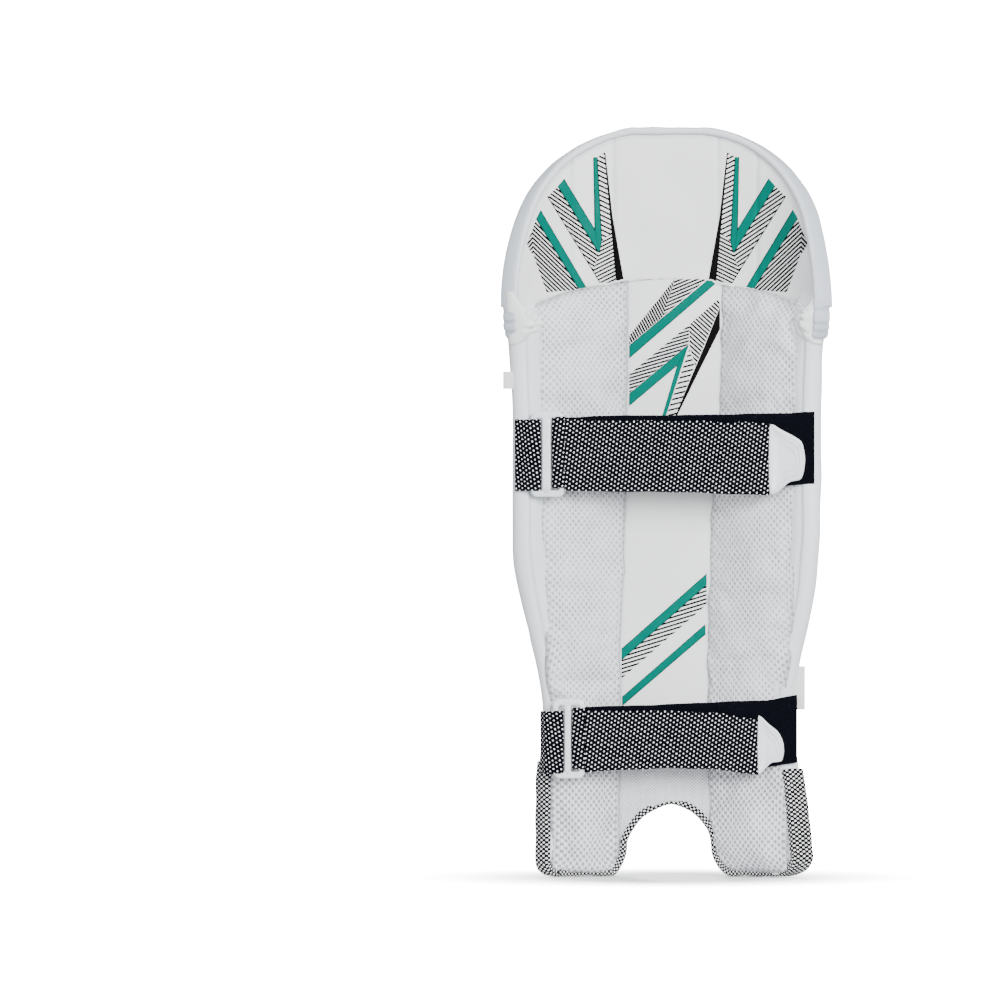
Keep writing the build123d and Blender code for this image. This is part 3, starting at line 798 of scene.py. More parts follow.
def bolster(name, near_edge, far_edge, seed):
    """Mesh-covered bolster from the centre panel to the seam on the back of the wing."""
    rows, cols = 110, 32
    side = np.sign(far_edge[0][1])
    across = np.linspace(0, 1, cols)
    foot_x = near_edge[0][1] + (far_edge[0][1] - near_edge[0][1]) * across
    low = height_at(foot_x, BOTTOM) + FOOT_RISE
    top_x = near_edge[-1][1] + (far_edge[-1][1] - near_edge[-1][1]) * across
    top = height_at(top_x, [TOP_SEAM])
    z = low + (top - low) * np.linspace(0, 1, rows)[:, None]
    edge, back = wing_edge(z, side)
    tape_width = np.where(z < FOOT_TAPE_Z, WIDE_TAPE, NARROW_TAPE)
    near = along_face(edge_at(z, near_edge), PANEL_N)
    far = 0
    for shift in (-24, -12, 0, 12, 24):
        seam = abs(along_face(edge_at(z + shift, far_edge), WING_BACK - .5))
        far = far + side * np.minimum(seam, wing_edge(z + shift, side)[0] - tape_width) / 5
    far = side * np.minimum(abs(far), edge - tape_width * .8)
    rounding = bulge((edge - abs(far)) / WING_ROUND)
    far_n = (back - SKIN) / 2 + (back + SKIN) / 2 * rounding + .5
    u = near + (far - near) * across
    base = PANEL_N + (far_n - PANEL_N) * across
    lift = bulge((z - low) / 26) * (.3 + .7 * bulge((top - z) / 42))
    n = base + (4 * across * (1 - across)) ** .62 * BOLSTER_RISE * lift
    from_side = np.minimum(across, 1 - across) * 70 + 0 * z
    rim = np.minimum.reduce([from_side, (z - low) / 1.2, (top - z) / 1.6])
    # painted shade along the seams round the bolster
    piece = make(name, slab(lay(u, n, z), lay(u, base - 1.0, z)), KNIT, weave=flat_weave(u, z),
                 shade_and_wear=front_only(.7 * np.exp(-(rim / 1.6))))
    pinned = np.ones((2, rows, cols), bool)
    pinned[0, 1:-1, 1:-1] = False
    inflate(piece, pinned.ravel(), pressure=5, cap=7)
    piece.modifiers.new("Round", "SUBSURF").levels = 1
    apply_modifiers(piece)
    dimple(piece, seed)
    side_name = name.split("_")[1]
    fit(piece, "shin_guard", "mesh_knit", f"bolster_cover_{side_name}", f"bolster_foam_{side_name}")


def dimple(piece, seed):
    """Soft uneven hand of foam under stretched mesh."""
    mesh = piece.data
    co = np.array([v.co for v in mesh.vertices]) / MM
    normal = np.array([v.normal for v in mesh.vertices])
    amount = .55 * ripple(co[:, 0], co[:, 2], 26, seed)
    amount += .8 * ripple(co[:, 0] * .6, co[:, 2] * 1.6, 60, seed + 1)
    amount *= normal[:, 1] > .1
    co += normal * amount[:, None]
    co[:, 1] = under_straps(co)
    mesh.vertices.foreach_set("co", (co * MM).astype(np.float32).ravel())
    mesh.update()


def under_straps(points):
    """The y of each point, pressed in where a strap crosses it."""
    y = points[:, 1].copy()
    for start, end, low, high in STRAP_LINES:
        line = start[1] + (end[1] - start[1]) * (points[:, 0] - start[0]) / (end[0] - start[0])
        outside = np.maximum(np.maximum(low - points[:, 2], points[:, 2] - high), 0)
        y = np.minimum(y, FACE_Y + line - .5 + .9 * outside + .02 * outside ** 2)
    return y


bolster("bolster_inner", PANEL_INNER, MESH_INNER, 51)
bolster("bolster_outer", PANEL_OUTER, MESH_OUTER, 57)


# ---------------------------------------------------------------- centre panel and its bands
KNIT_FOOT_Z = 97.0          # top of the knitted foot of the panel
PATCH_STEP = 1.4            # distance between the points of a printed band
HATCH_WIDTH = 1.45          # width of one line of hatching
EDGING_WIDTH = .55          # width of the black line beside a teal band


def panel_depth(x, z):
    """Depth of the rear face of the centre panel."""
    inner, outer = edge_at(z, PANEL_INNER), edge_at(z, PANEL_OUTER)
    share = np.clip((x - outer) / (inner - outer), 0, 1)
    return 13.2 + 2.6 * (4 * share * (1 - share)) ** .5 + .35 * ripple(x, z, 60, 71)


def centre_panel():
    """Padded panel down the middle, in coated fabric with a knitted foot."""
    across = np.linspace(0, 1, 34)
    foot_x = PANEL_INNER[0][1] + (PANEL_OUTER[0][1] - PANEL_INNER[0][1]) * across
    low = height_at(foot_x, BOTTOM) + FOOT_RISE
    top = height_at(foot_x, [TOP_SEAM])
    z = low + (top - low) * np.linspace(0, 1, 230)[:, None]
    inner, outer = edge_at(z, PANEL_INNER) + 1.5, edge_at(z, PANEL_OUTER) - 1.5
    x = inner + (outer - inner) * across
    points, faces, _ = slab(lay_x(x, panel_depth(x, z), z), lay_x(x, 12.2, z))
    knitted = (points[[f[0] for f in faces], 2] < KNIT_FOOT_Z).astype(int)
    # painted shade along the two side seams of the panel
    share = np.minimum(across, 1 - across) + 0 * z
    piece = make("centre_lining", (points, faces, knitted), [LINING_WHITE, FINE_KNIT],
                 weave=flat_weave(x, z), shade_and_wear=front_only(.6 * np.exp(-share * 60)))
    fit(piece, "shin_guard", "lining_pu", "centre_panel")


def patch(corners, depth):
    """Thin closed film on a surface, between four corners in rear view."""
    a, b, c, d = (np.array(p, float) for p in corners)
    longest = max(np.linalg.norm(b - a), np.linalg.norm(c - d))
    widest = max(np.linalg.norm(d - a), np.linalg.norm(c - b))
    s = np.linspace(0, 1, max(2, int(longest / PATCH_STEP) + 1))[:, None, None]
    t = np.linspace(0, 1, max(2, int(widest / PATCH_STEP) + 1))[None, :, None]
    flat = (a * (1 - s) + b * s) * (1 - t) + (d * (1 - s) + c * s) * t
    x, z = flat[..., 0], flat[..., 1]
    n = depth(x, z)
    return slab(lay_x(x, n + .3, z), lay_x(x, n - .4, z))


def inside(corners, point, direction):
    """Where a line through point enters and leaves a convex outline, as distances along it."""
    corners = np.array(corners, float)
    low, high = -1e9, 1e9
    for a, b in zip(corners, np.roll(corners, -1, 0)):
        inward = np.array([a[1] - b[1], b[0] - a[0]])
        inward *= np.sign(inward @ (corners.mean(0) - a))
        speed, gap = inward @ direction, inward @ (point - a)
        if abs(speed) < 1e-9:
            continue
        if speed > 0:
            low = max(low, -gap / speed)
        else:
            high = min(high, -gap / speed)
    return low, high


def hatching(corners, depth, slope, pitch):
    """Parallel lines that fill a convex outline. slope is in degrees above the X axis."""
    along = np.array([cos(radians(slope)), sin(radians(slope))])
    across = np.array([-along[1], along[0]])
    reach = np.array(corners) @ across
    shapes = []
    for offset in np.arange(reach.min() + pitch * .45, reach.max(), pitch):
        sides = [across * (offset + shift) for shift in (-HATCH_WIDTH / 2, HATCH_WIDTH / 2)]
        (a, b), (c, d) = (inside(corners, point, along) for point in sides)
        if b - a < .4 or d - c < .4:
            continue
        line = (sides[0] + along * a, sides[0] + along * b, sides[1] + along * d, sides[1] + along * c)
        shapes.append(patch(line, depth))
    return shapes


def edging(corners, depth):
    """Thin lines just outside the two long edges of a band, corners 0-1 and 3-2."""
    a, b, c, d = (np.array(p, float) for p in corners)
    shapes = []
    for start, end, outward in ((a, b, a - d), (d, c, d - a)):
        step = outward / max(np.linalg.norm(outward), 1e-6) * EDGING_WIDTH
        shapes.append(patch((start, end, end + step, start + step), depth))
    return shapes


# Printed bands, by corners (x, z) in rear view. A hatched band has the slope and pitch of its lines.
CENTRE_TEAL = [((37.5, 193), (-35, 257), (-35, 248), (37.5, 184)),
               ((37, 152), (-34, 214), (-34, 206), (37, 145)),
               ((31, 451), (-36, 507), (-44, 506), (31, 441)),
               ((31, 410), (-19.5, 452), (-10, 435), (31, 400.5)),
               ((-19.5, 452), (0, 391), (3, 391), (-10, 435))]
CENTRE_HATCH = [(((37.5, 184), (-35, 248), (-35, 231), (37.5, 168)), -17, 3.25),
                (((31, 460), (-8, 508.5), (2.3, 476), (31, 452)), 63, 2.3),
                (((-8, 508), (-35, 508), (2.3, 476.5)), -23, 2.7),
                (((31, 427), (-20.4, 469.5), (-19.7, 453), (31, 411)), -16, 2.75),
                (((-20.4, 469.5), (-46, 492), (-46, 484), (-25.3, 434), (-20.5, 451)), 42, 2.9),
                (((-20.3, 449), (-24.5, 433.9), (-9, 391.8), (-.8, 391.8)), -14, 4.1)]
CENTRE_BLACK = [((-46.3, 484), (-46.3, 465.5), (-39.4, 451.8), (-33.5, 451.8)),
                ((-33.5, 451.8), (-39.4, 451.8), (-26.4, 425.8), (-22.6, 426.3)),
                ((-22.6, 426.3), (-26.4, 425.8), (-9.9, 392), (-8.5, 392))]


def band_pieces(name, teal, hatch, black, depth):
    """Shapes of printed bands: teal ones and black ones."""
    colour = [patch(corners, depth) for corners in teal]
    lines = [patch(corners, depth) for corners in black]
    for corners in teal:
        lines += edging(corners, depth)
    for corners, slope, pitch in hatch:
        lines += hatching(corners, depth, slope, pitch)
    return make(name + "_teal", merge(colour), TEAL), make(name + "_black", merge(lines), BLACK)


centre_panel()
for print_piece in band_pieces("centre_bands", CENTRE_TEAL, CENTRE_HATCH, CENTRE_BLACK, panel_depth):
    fit(print_piece, "shin_guard", "lining_pu")


# ---------------------------------------------------------------- foot binding tape
def tape(name, path, width_rear, width_front, back, node, stretch=1.0):
    """Binding folded over the edge of the pad along a path in front view.

    back is the depth of the surface behind it, and stretch widens its checks."""
    step = 1.6
    path = np.array(path, float)
    edge_n = np.where(path[:, 0] < 0, EDGE_N[-1], EDGE_N[1]) * smooth((abs(path[:, 0]) - 60) / 30)
    path[:, 0] = along_face(path[:, 0], edge_n)
    path = even(path, step)
    inward = left_of(path)
    run = np.arange(len(path)) * step
    wobble = .25 * ripple(run, 0, 22, 81)[:, None]
    # once round the folded strip, as (distance in from the edge, depth)
    profile = [(width_front, -SKIN - .3), (width_front * .5, -SKIN - 1.0), (1.4, -SKIN - 1.0),
               (.2, -SKIN + .6), (-.5, 1.5), (-.7, (back - SKIN) / 2), (-.5, back - 1.5), (.3, back + .4),
               (1.6, back + 1.1), (width_rear * .35, back + 1.2), (width_rear * .7, back + 1.2),
               (width_rear, back + 1.0), (width_rear, back + .2), (width_rear * .5, back + .1),
               (2.2, back - .2), (1.2, back - 2), (1.2, 2.5), (2.0, -SKIN + .4), (width_front, -SKIN + .5)]
    loops = []
    for inset, depth in profile:
        flat = path + inward * (inset + wobble)
        loops.append(lay(flat[:, 0], depth, flat[:, 1]))
    lengths = np.linalg.norm(np.diff(profile, axis=0), axis=1)
    across = np.concatenate([[0], np.cumsum(lengths)]) / stretch
    weave = np.stack(np.broadcast_arrays(across, run[:, None], 0.0), -1)
    piece = make(name, loft(np.stack(loops, 1)), CHECKS, weave=weave.reshape(-1, 3))
    fit(piece, "shin_guard", "check_tape", node)


OUTLINE = chain(BOTTOM)
OUTER_CUT, INNER_CUT = -106, 97     # x at which the arch binding meets the side tapes
arch_run = OUTLINE[(OUTLINE[:, 0] > OUTER_CUT) & (OUTLINE[:, 0] < INNER_CUT)]
outer_z = np.linspace(92, 24, 30)
outer_run = np.concatenate([np.stack([edge_at(outer_z, OUTER_SIDE), outer_z], 1),
                            OUTLINE[OUTLINE[:, 0] <= OUTER_CUT]])
inner_z = np.linspace(12, FOOT_TAPE_Z, 30)
inner_run = np.concatenate([OUTLINE[OUTLINE[:, 0] >= INNER_CUT],
                            np.stack([edge_at(inner_z, INNER_SIDE), inner_z], 1)])
tape("instep_binding", arch_run, TAPE_ARCH, TAPE_ARCH, 15.0, "instep_tape")
tape("outer_binding", outer_run, 7.0, 6.5, WING_BACK + .6, "side_tape_outer", stretch=1.6)
tape("inner_binding", inner_run, 5.0, 4.0, LINING_N + 1.6, "side_tape_inner", stretch=1.6)


# ---------------------------------------------------------------- knee flap
DOME_LINE = chain(DOME)
DOME_LINE[:, 0] = along_face(DOME_LINE[:, 0], -3)   # unrolled, as distance along the face and height


def flap_grid(rows, u, inset):
    """Grid over the unrolled dome, its rim inset: distance along the face and height."""
    middle = (DOME_LINE[0, 0] + DOME_LINE[-1, 0]) / 2
    half = (DOME_LINE[-1, 0] - DOME_LINE[0, 0]) / 2
    spread = middle + (u - middle) * half / (half - inset)
    top = np.interp(spread, DOME_LINE[:, 0], DOME_LINE[:, 1]) - inset
    z = FLAP_Z + np.maximum(top - FLAP_Z, 3) * np.linspace(0, 1, rows)[:, None]
    return np.broadcast_to(u, z.shape), z


def flap_depth(x, z):
    """Depth of the lining of the knee flap."""
    crease = sum(np.exp(-((x - s) / 1.9) ** 2) for s in FLAP_CREASES)
    rim = distance_to(DOME_LINE, along_face(x, 10), z)
    return 9.9 + .7 * ripple(x, z, 50, 91) - .9 * crease + 1.4 * smooth((rim - 8) / 14)


def flap_cover():
    """Front of the knee flap: upright padded panels inside a welt."""
    inset = 1.5
    ends = (DOME_LINE[0, 0] + inset, DOME_LINE[-1, 0] - inset)
    stops = [ends[0], *FLAP_SEAMS, ends[1]]
    columns = [ends[0]]
    for a, b in zip(stops, stops[1:]):
        count = max(8, int((b - a) / 1.9))
        columns += list(a + (b - a) * (.5 - .5 * np.cos(np.linspace(0, pi, count + 1)))[1:])
    u, z = flap_grid(90, np.array(columns), inset)
    f, width = np.zeros_like(u), np.ones_like(u)
    for a, b in zip(stops, stops[1:]):
        between = (u >= a) & (u <= b)
        f = np.where(between, (u - a) / (b - a), f)
        width = np.where(between, b - a, width)
    rim = distance_to(DOME_LINE, u, z)
    from_seam = np.minimum(f, 1 - f) * width
    crown = bulge(from_seam / 11)
    puff = PANEL_RISE * crown * bulge((rim - WELT_IN) / 12) * bulge((z - FLAP_Z + 2) / 12)
    groove = np.exp(-(from_seam / .9) ** 2)
    welt = np.exp(-((rim - WELT_IN) / 1.0) ** 2)
    n = -SKIN - puff + .5 * groove + .7 * welt - .5 * ripple(u, z, 60, 93) * crown
    # painted shade in the grooves between the panels and along the welt
    shade_and_wear = np.clip(.75 * groove + .6 * welt, 0, 1)
    piece = make("flap_cover", slab(lay(u, n, z), lay(u, 3.0, z)), PU_WHITE, shade_and_wear=front_only(shade_and_wear))
    fit(piece, "knee_flap", "pu_cover", "flap_facing", "flap_board", *[f"flap_foam_{i}" for i in range(1, 8)])


def flap_lining():
    """Lining of the knee flap, with its sewn creases."""
    inset = 5.0
    u, z = flap_grid(96, np.linspace(DOME_LINE[0, 0] + inset, DOME_LINE[-1, 0] - inset, 230), inset)
    x = lay(u, 10, z)[..., 0]
    crease = sum(np.exp(-((x - s) / 1.3) ** 2) for s in FLAP_CREASES)
    # painted shade in the sewn creases and along the line just inside the rolled edge
    shade_and_wear = np.clip(.45 * crease + .5 * np.exp(-(distance_to(DOME_LINE, u, z) - 8) ** 2 / 3), 0, 1)
    piece = make("flap_lining_sheet", slab(lay(u, flap_depth(x, z), z), lay(u, 3.2, z)), LINING_WHITE,
                 shade_and_wear=front_only(shade_and_wear))
    fit(piece, "knee_flap", "lining_pu", "flap_lining")


# Section of the rolled edge, and its painted shade: darkest on the inner side where it meets the lining,
# fainter on the outer side
ROLL_ANGLES = circle(18)
ROLL_WIDE = squared(np.cos(ROLL_ANGLES), .8)
ROLL_DEEP = squared(np.sin(ROLL_ANGLES), .75)
ROLL_SHADE = np.clip(abs(np.cos(ROLL_ANGLES)) - .45, 0, .5) * 2
ROLL_SHADE *= np.where(np.cos(ROLL_ANGLES) > 0, .95, .5)


def roll_tail(side):
    """End of the rolled edge, tucked down over the top corner of the wing."""
    top_u = abs(DOME_LINE[0 if side < 0 else -1, 0]) - ROLL_HALF
    corners = [(top_u, 489), (top_u + .3, 474), (top_u - .4, 467), (top_u - 4, 460), (top_u - 10, 457)]
    path = even(corners, 1.0)
    inward = -left_of(path)
    run = np.arange(len(path))
    taper = bulge((run[-1] + .3 - run) / 6)
    folds = ((9 + side, .6), (19 - side, 1), (26, .7))
    tucks = sum(size * np.exp(-((run - at) / 1.4) ** 2) for at, size in folds)
    loops = []
    for centre, across, size, tuck in zip(path, inward, taper, tucks):
        size *= 1 - .12 * tuck
        flat = centre + across * ROLL_WIDE[:, None] * 3.65 * size
        loops.append(lay(side * flat[:, 0], 6.5 + ROLL_DEEP * 7.2 * size, flat[:, 1]))
    # painted shade: the roll's own side shade, deepened in the tucks of its folds
    shade = (ROLL_SHADE + .5 * tucks[:, None]).clip(0, 1)
    name = "roll_tail_outer" if side < 0 else "roll_tail_inner"
    piece = make(name, loft(loops), PIPING, shade_and_wear=shade)
    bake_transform(piece)


def flap_piping():
    """Rolled edge round the dome."""
    step = 2.2
    path = even(DOME_LINE, step)
    inward = -left_of(path)
    half_width = ROLL_HALF + .25 * ripple(np.arange(len(path)) * step, 0, 26, 97)
    loops = []
    for centre, across, half in zip(path + inward * ROLL_HALF, inward, half_width):
        flat = centre + across * ROLL_WIDE[:, None] * half
        loops.append(lay(flat[:, 0], 5.2 + ROLL_DEEP * 8.0, flat[:, 1]))
    # painted shade along both sides of the roll, deepest on its inner side
    piece = make("flap_rolled_edge", loft(loops), PIPING, shade_and_wear=np.tile(ROLL_SHADE, len(path)))
    fit(piece, "knee_flap", "piping", "flap_piping")


def mirrored(corners):
    """The same corners on the other side of the flap's middle."""
    return tuple((-x - 1, z) for x, z in corners)


FLAP_TEAL = [((106.6, 566), (67, 499.6), (73.4, 499), (110.1, 559)),
             ((86.7, 593), (60, 549.5), (57, 531), (91.6, 587)),
             ((61.1, 612), (60, 549.5), (54.5, 540), (58.4, 612)),
             ((60, 549.5), (57, 531), (56, 533), (54.5, 540))]
FLAP_HATCH = [(((110, 559), (73.8, 499), (101.3, 496.5), (112, 526), (114, 548)), 43, 2.7),
              (((114, 548), (112, 526), (118.2, 537)), -50, 2.6),
              (((92, 587), (57, 530.5), (61.4, 514.4), (100.4, 577.4)), 34, 3.0),
              (((45, 549), (54.5, 539.5), (57, 530.5), (61.4, 514.4), (54.3, 503), (41.5, 504)), -27, 3.0),
              (((58.2, 612), (51.8, 616), (45, 549), (54.3, 540)), 26, 3.7)]
FLAP_BLACK = [((52.1, 615.7), (47.2, 561.5), (45.1, 561.5), (51.3, 615.7)),
              ((47.2, 561.5), (41.9, 504), (35, 504), (45.1, 561.5)),
              ((100.9, 578), (54.8, 502.8), (54.3, 503.2), (100.4, 578.3))]

flap_cover()
flap_lining()
flap_piping()
flap_prints = band_pieces("flap_bands", FLAP_TEAL + [mirrored(c) for c in FLAP_TEAL],
                          FLAP_HATCH + [(mirrored(c), -slope, pitch) for c, slope, pitch in FLAP_HATCH],
                          FLAP_BLACK + [mirrored(c) for c in FLAP_BLACK], flap_depth)
for print_piece in flap_prints:
    fit(print_piece, "knee_flap", "lining_pu")


GUSSET_LOW = 452            # bottom of the gathered fabric
GUSSET_HIGH = 496           # top of it


def gusset():
    """Gathered fabric that joins the shin guard to the knee flap, bunched over the wing tops."""
    z = np.linspace(GUSSET_LOW, GUSSET_HIGH, 56)[:, None]
    outer, inner = wing_edge(z, -1)[0] + 2.5, wing_edge(z, 1)[0] + 2.5
    u = (outer + inner) * np.linspace(0, 1, 300) - outer
    from_edge = np.minimum(u + outer, inner - u)
    bunch = smooth((42 - from_edge) / 12) * bulge(from_edge / 5) * bulge((z - 451.5) / 5)
    crumple = abs(ripple(u * 1.3, z * 1.2, 17, 141)) + .55 * abs(ripple(u, z, 10, 143))
    rise = np.interp(z, (GUSSET_LOW, 459, 467, 475, 484, GUSSET_HIGH), (6, 9.6, 12.5, 12, 7.5, 1.5))
    rear = 9.2 + bunch * (rise + 3.4 * (crumple - .55) * np.exp(-((z - 470) / 13) ** 2))
    front = 3.0 + 2 * (1 - bulge(from_edge / 6))
    # painted shade in the creases of the bunched fabric
    crease = .55 * bunch * np.exp(-(crumple / .16) ** 2)
    piece = make("knee_gusset", slab(lay(u, rear, z), lay(u, front, z)), LINING_WHITE,
                 shade_and_wear=front_only(crease))
    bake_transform(piece)


def top_hem():
    """Uneven turned hem along the top of the bolsters and the centre panel."""
    x = np.linspace(-116, 116, 210)
    centre = smooth((50 - abs(x)) / 12)
    z = height_at(x, [TOP_SEAM]) + 1.1 * centre + .45 * ripple(x, 0, 14, 151) + .35 * ripple(x, 0, 5, 153)
    size = 1.45 - .4 * centre + .3 * ripple(x, 0, 9, 155)
    depth = 13.6 + 2.2 * smooth((abs(x + 6) - 38) / 8) + .3 * ripple(x, 0, 8, 157)
    u = along_face(x, PANEL_N)
    sides = 10
    loops = [lay(u, depth + size * 1.1 * sin(a), z + size * cos(a)) for a in circle(sides)]
    frayed = .5 * np.clip(ripple(x, 0, 6, 159), 0, 1)
    piece = make("top_hem", loft(np.stack(loops, 1)), LINING_WHITE, shade_and_wear=np.repeat(frayed, sides))
    fit(piece, "shin_guard", "lining_pu")


top_hem()
roll_tail(-1)
roll_tail(1)
gusset()


# ---------------------------------------------------------------- straps
STRAP = 1.8                 # thickness of the webbing
HALF_STRAP = STRAP / 2
RING_T = 3.6                # depth of the middle of the ring behind the chord
FOLD_T = 6.3                # depth of the middle of the folded run
REST_T = 3.5                # depth of the middle of the return run on the base run
TURN = 3.6                  # distance from the end of a fold to the middle of its half circle
TAB_T = 2.6                 # depth of the front of the pull tab


class Strap:
    """Places along one strap: s along its chord, t rearward from it.

    base and back are the (x, low, high) stations of the base run and of the return run."""

    def __init__(self, name, sewn_end, chord_end, base, back, ring_x, ring_z, fold_x, anchor_x,
                 anchor_end, tab):
        self.name = name
        self.origin = np.array([sewn_end[0], FACE_Y + sewn_end[1]])
        along = np.array([chord_end[0], FACE_Y + chord_end[1]]) - self.origin
        self.along = along / np.linalg.norm(along)
        self.rear = np.array([-self.along[1], self.along[0]])
        self.base, self.back = base, back
        self.ring_s = [self.reach(x) for x in ring_x]
        self.ring_z = ring_z
        self.fold_s = self.reach(fold_x)
        self.anchor_s = self.reach(anchor_x)
        self.anchor_end = (self.reach(anchor_end[0]), anchor_end[1])
        self.tab = [(self.reach(x), z) for x, z in tab]
        self.end_s = self.tab[0][0] - .6

    def reach(self, x):
        """Distance along the chord at which it passes x."""
        return (x - self.origin[0]) / self.along[0]

    def at(self, s, t, z):
        """Point at distance s, depth t and height z."""
        s, t, z = np.broadcast_arrays(*(np.asarray(v, float) for v in (s, t, z)))
        plan = self.origin + s[..., None] * self.along + t[..., None] * self.rear
        return np.concatenate([plan, z[..., None]], -1)

    def band(self, stations, s):
        """Lower and upper edge at s, from stations."""
        places, low, high = np.array([(self.reach(x), a, b) for x, a, b in stations]).T
        order = np.argsort(places)
        return np.interp(s, places[order], low[order]), np.interp(s, places[order], high[order])


UPPER = Strap("upper", *UPPER_CHORD,
              base=((-126, 333.5, 394.8), (-60, 331, 392.5), (20, 330.5, 391.5), (98, 330, 390)),
              back=((98, 327.7, 388), (0, 326.5, 387), (-60, 325, 386), (-90, 323.5, 384.5)),
              ring_x=(86, 115), ring_z=(322.5, 394.5), fold_x=97, anchor_x=106, anchor_end=(128, -2.6),
              tab=((-86.3, 384.5), (-91, 383.6), (-97, 379.5), (-109, 373.5), (-115, 369), (-117.4, 356),
                   (-116.6, 346), (-114.2, 337), (-104, 335.4), (-99, 331), (-92.5, 325.2), (-86.3, 324.3)))
LOWER = Strap("lower", *LOWER_CHORD,
              base=((-112, 97, 155), (-85, 94, 150.5), (-30, 93, 148), (80, 92, 143.5)),
              back=((80, 88, 140.8), (40, 91, 141.4), (0, 92.5, 141.4), (-40, 91.5, 139.6), (-80, 87, 134)),
              ring_x=(69, 96), ring_z=(84, 151.5), fold_x=80, anchor_x=87, anchor_end=(106, -8.6),
              tab=((-77.3, 137.5), (-80, 137), (-87, 130), (-95, 124), (-99.3, 115), (-100, 107),
                   (-98.4, 98.6), (-94, 97.8), (-89, 97.4), (-84, 92.4), (-80, 88), (-77.3, 87.2)))


def webbing(strap, path, stations, seed):
    """Strip of webbing along a path of (s, t), with its weave coordinates."""
    step = 1.1
    path = even(path, step)
    run = np.arange(len(path)) * step
    normal = left_of(path)
    low, high = strap.band(stations, path[:, 0])
    across = .5 - .5 * np.cos(np.linspace(0, pi, 26))
    distance = np.minimum(across, 1 - across)[:, None] * (high - low)
    half = HALF_STRAP * (.35 + .65 * bulge(distance / 1.2))
    wave = .35 * ripple(run, 0, 40, seed)
    z = (low + wave) + (high - low + .3 * ripple(run, 0, 30, seed + 1)) * across[:, None]
    drift = .25 * ripple(run[None, :] + 0 * z, z, 45, seed + 2) * bulge(run / 12)
    sides = []
    for sign in (1, -1):
        s = path[:, 0] + normal[:, 0] * (sign * half + drift)
        t = path[:, 1] + normal[:, 1] * (sign * half + drift)
        sides.append(strap.at(s, t, z))
    return slab(*sides), flat_weave(run[None, :] + 0 * z, z)


def fold_arc(s, direction):
    """Half circle of webbing round a ring bar, from the base depth to the fold depth."""
    middle, radius = (HALF_STRAP + FOLD_T) / 2, (FOLD_T - HALF_STRAP) / 2
    angles = np.linspace(-pi / 2, pi / 2, 12)
    return [(s + direction * radius * cos(a), middle + radius * sin(a)) for a in angles]


def base_run(strap):
    """Run sewn to the outer wing, with its fold round the ring. Its rear face carries the loops."""
    turn = strap.fold_s - TURN
    path = [(s, HALF_STRAP) for s in np.linspace(0, turn, 30)[:-1]] + fold_arc(turn, 1)
    shape, weave = webbing(strap, path + [(strap.ring_s[0], FOLD_T)], strap.base, 101)
    piece = make(f"{strap.name}_base_run", shape, [PILE, DOTS], weave=weave)
    fit(piece, "shin_guard", "loop_pile", f"{strap.name}_strap_base")


def return_run(strap):
    """Run from the ring down onto the base run, bent where it leaves the ring."""
    hinge = strap.ring_s[0]
    path = [(hinge, FOLD_T), (hinge - 10, FOLD_T - .9), (hinge - 24, REST_T + .35), (hinge - 34, REST_T),
            (strap.end_s + 60, REST_T), (strap.end_s, REST_T)]
    shape, weave = webbing(strap, path, strap.back, 107)
    weave[:, 0] += hinge * .37          # the dots of the two straps don't start alike
    piece = make(f"{strap.name}_return_run", shape, [PILE, DOTS], weave=weave)
    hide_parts(f"{strap.name}_strap_return")
    start, end = strap.at(hinge + .5, FOLD_T, 0) * MM, strap.at(hinge - 6, FOLD_T, 0) * MM
    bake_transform(piece)


def anchor_loop(strap):
    """Short strap folded round the ring's other bar and sewn to the inner edge."""
    anchor_s, anchor_t = strap.anchor_end
    anchor_t += HALF_STRAP
    turn = strap.anchor_s + TURN
    bar = strap.ring_s[1]
    path = [(anchor_s, anchor_t), (bar + 5, HALF_STRAP), (turn, HALF_STRAP)] + fold_arc(turn, -1)
    path += [(bar - 2, FOLD_T), (bar + 1, FOLD_T - .6), (bar + 6, HALF_STRAP + STRAP + .2),
             (anchor_s, anchor_t + STRAP)]
    shape, weave = webbing(strap, path, [(s, *strap.back[0][1:]) for s in (0, 200)], 113)
    piece = make(f"{strap.name}_anchor_loop", shape, DOTS, weave=weave)
    fit(piece, "shin_guard", "dot_webbing", f"{strap.name}_anchor")


def rounded_rectangle(width, height, radius):
    """Outline of a rounded rectangle about its centre."""
    points = []
    for sx, sy, first in ((1, 1, 0), (-1, 1, 90), (-1, -1, 180), (1, -1, 270)):
        x, y = sx * (width / 2 - radius), sy * (height / 2 - radius)
        for a in np.radians(np.linspace(first, first + 90, 8)):
            points.append((x + radius * cos(a), y + radius * sin(a)))
    return np.array(points)


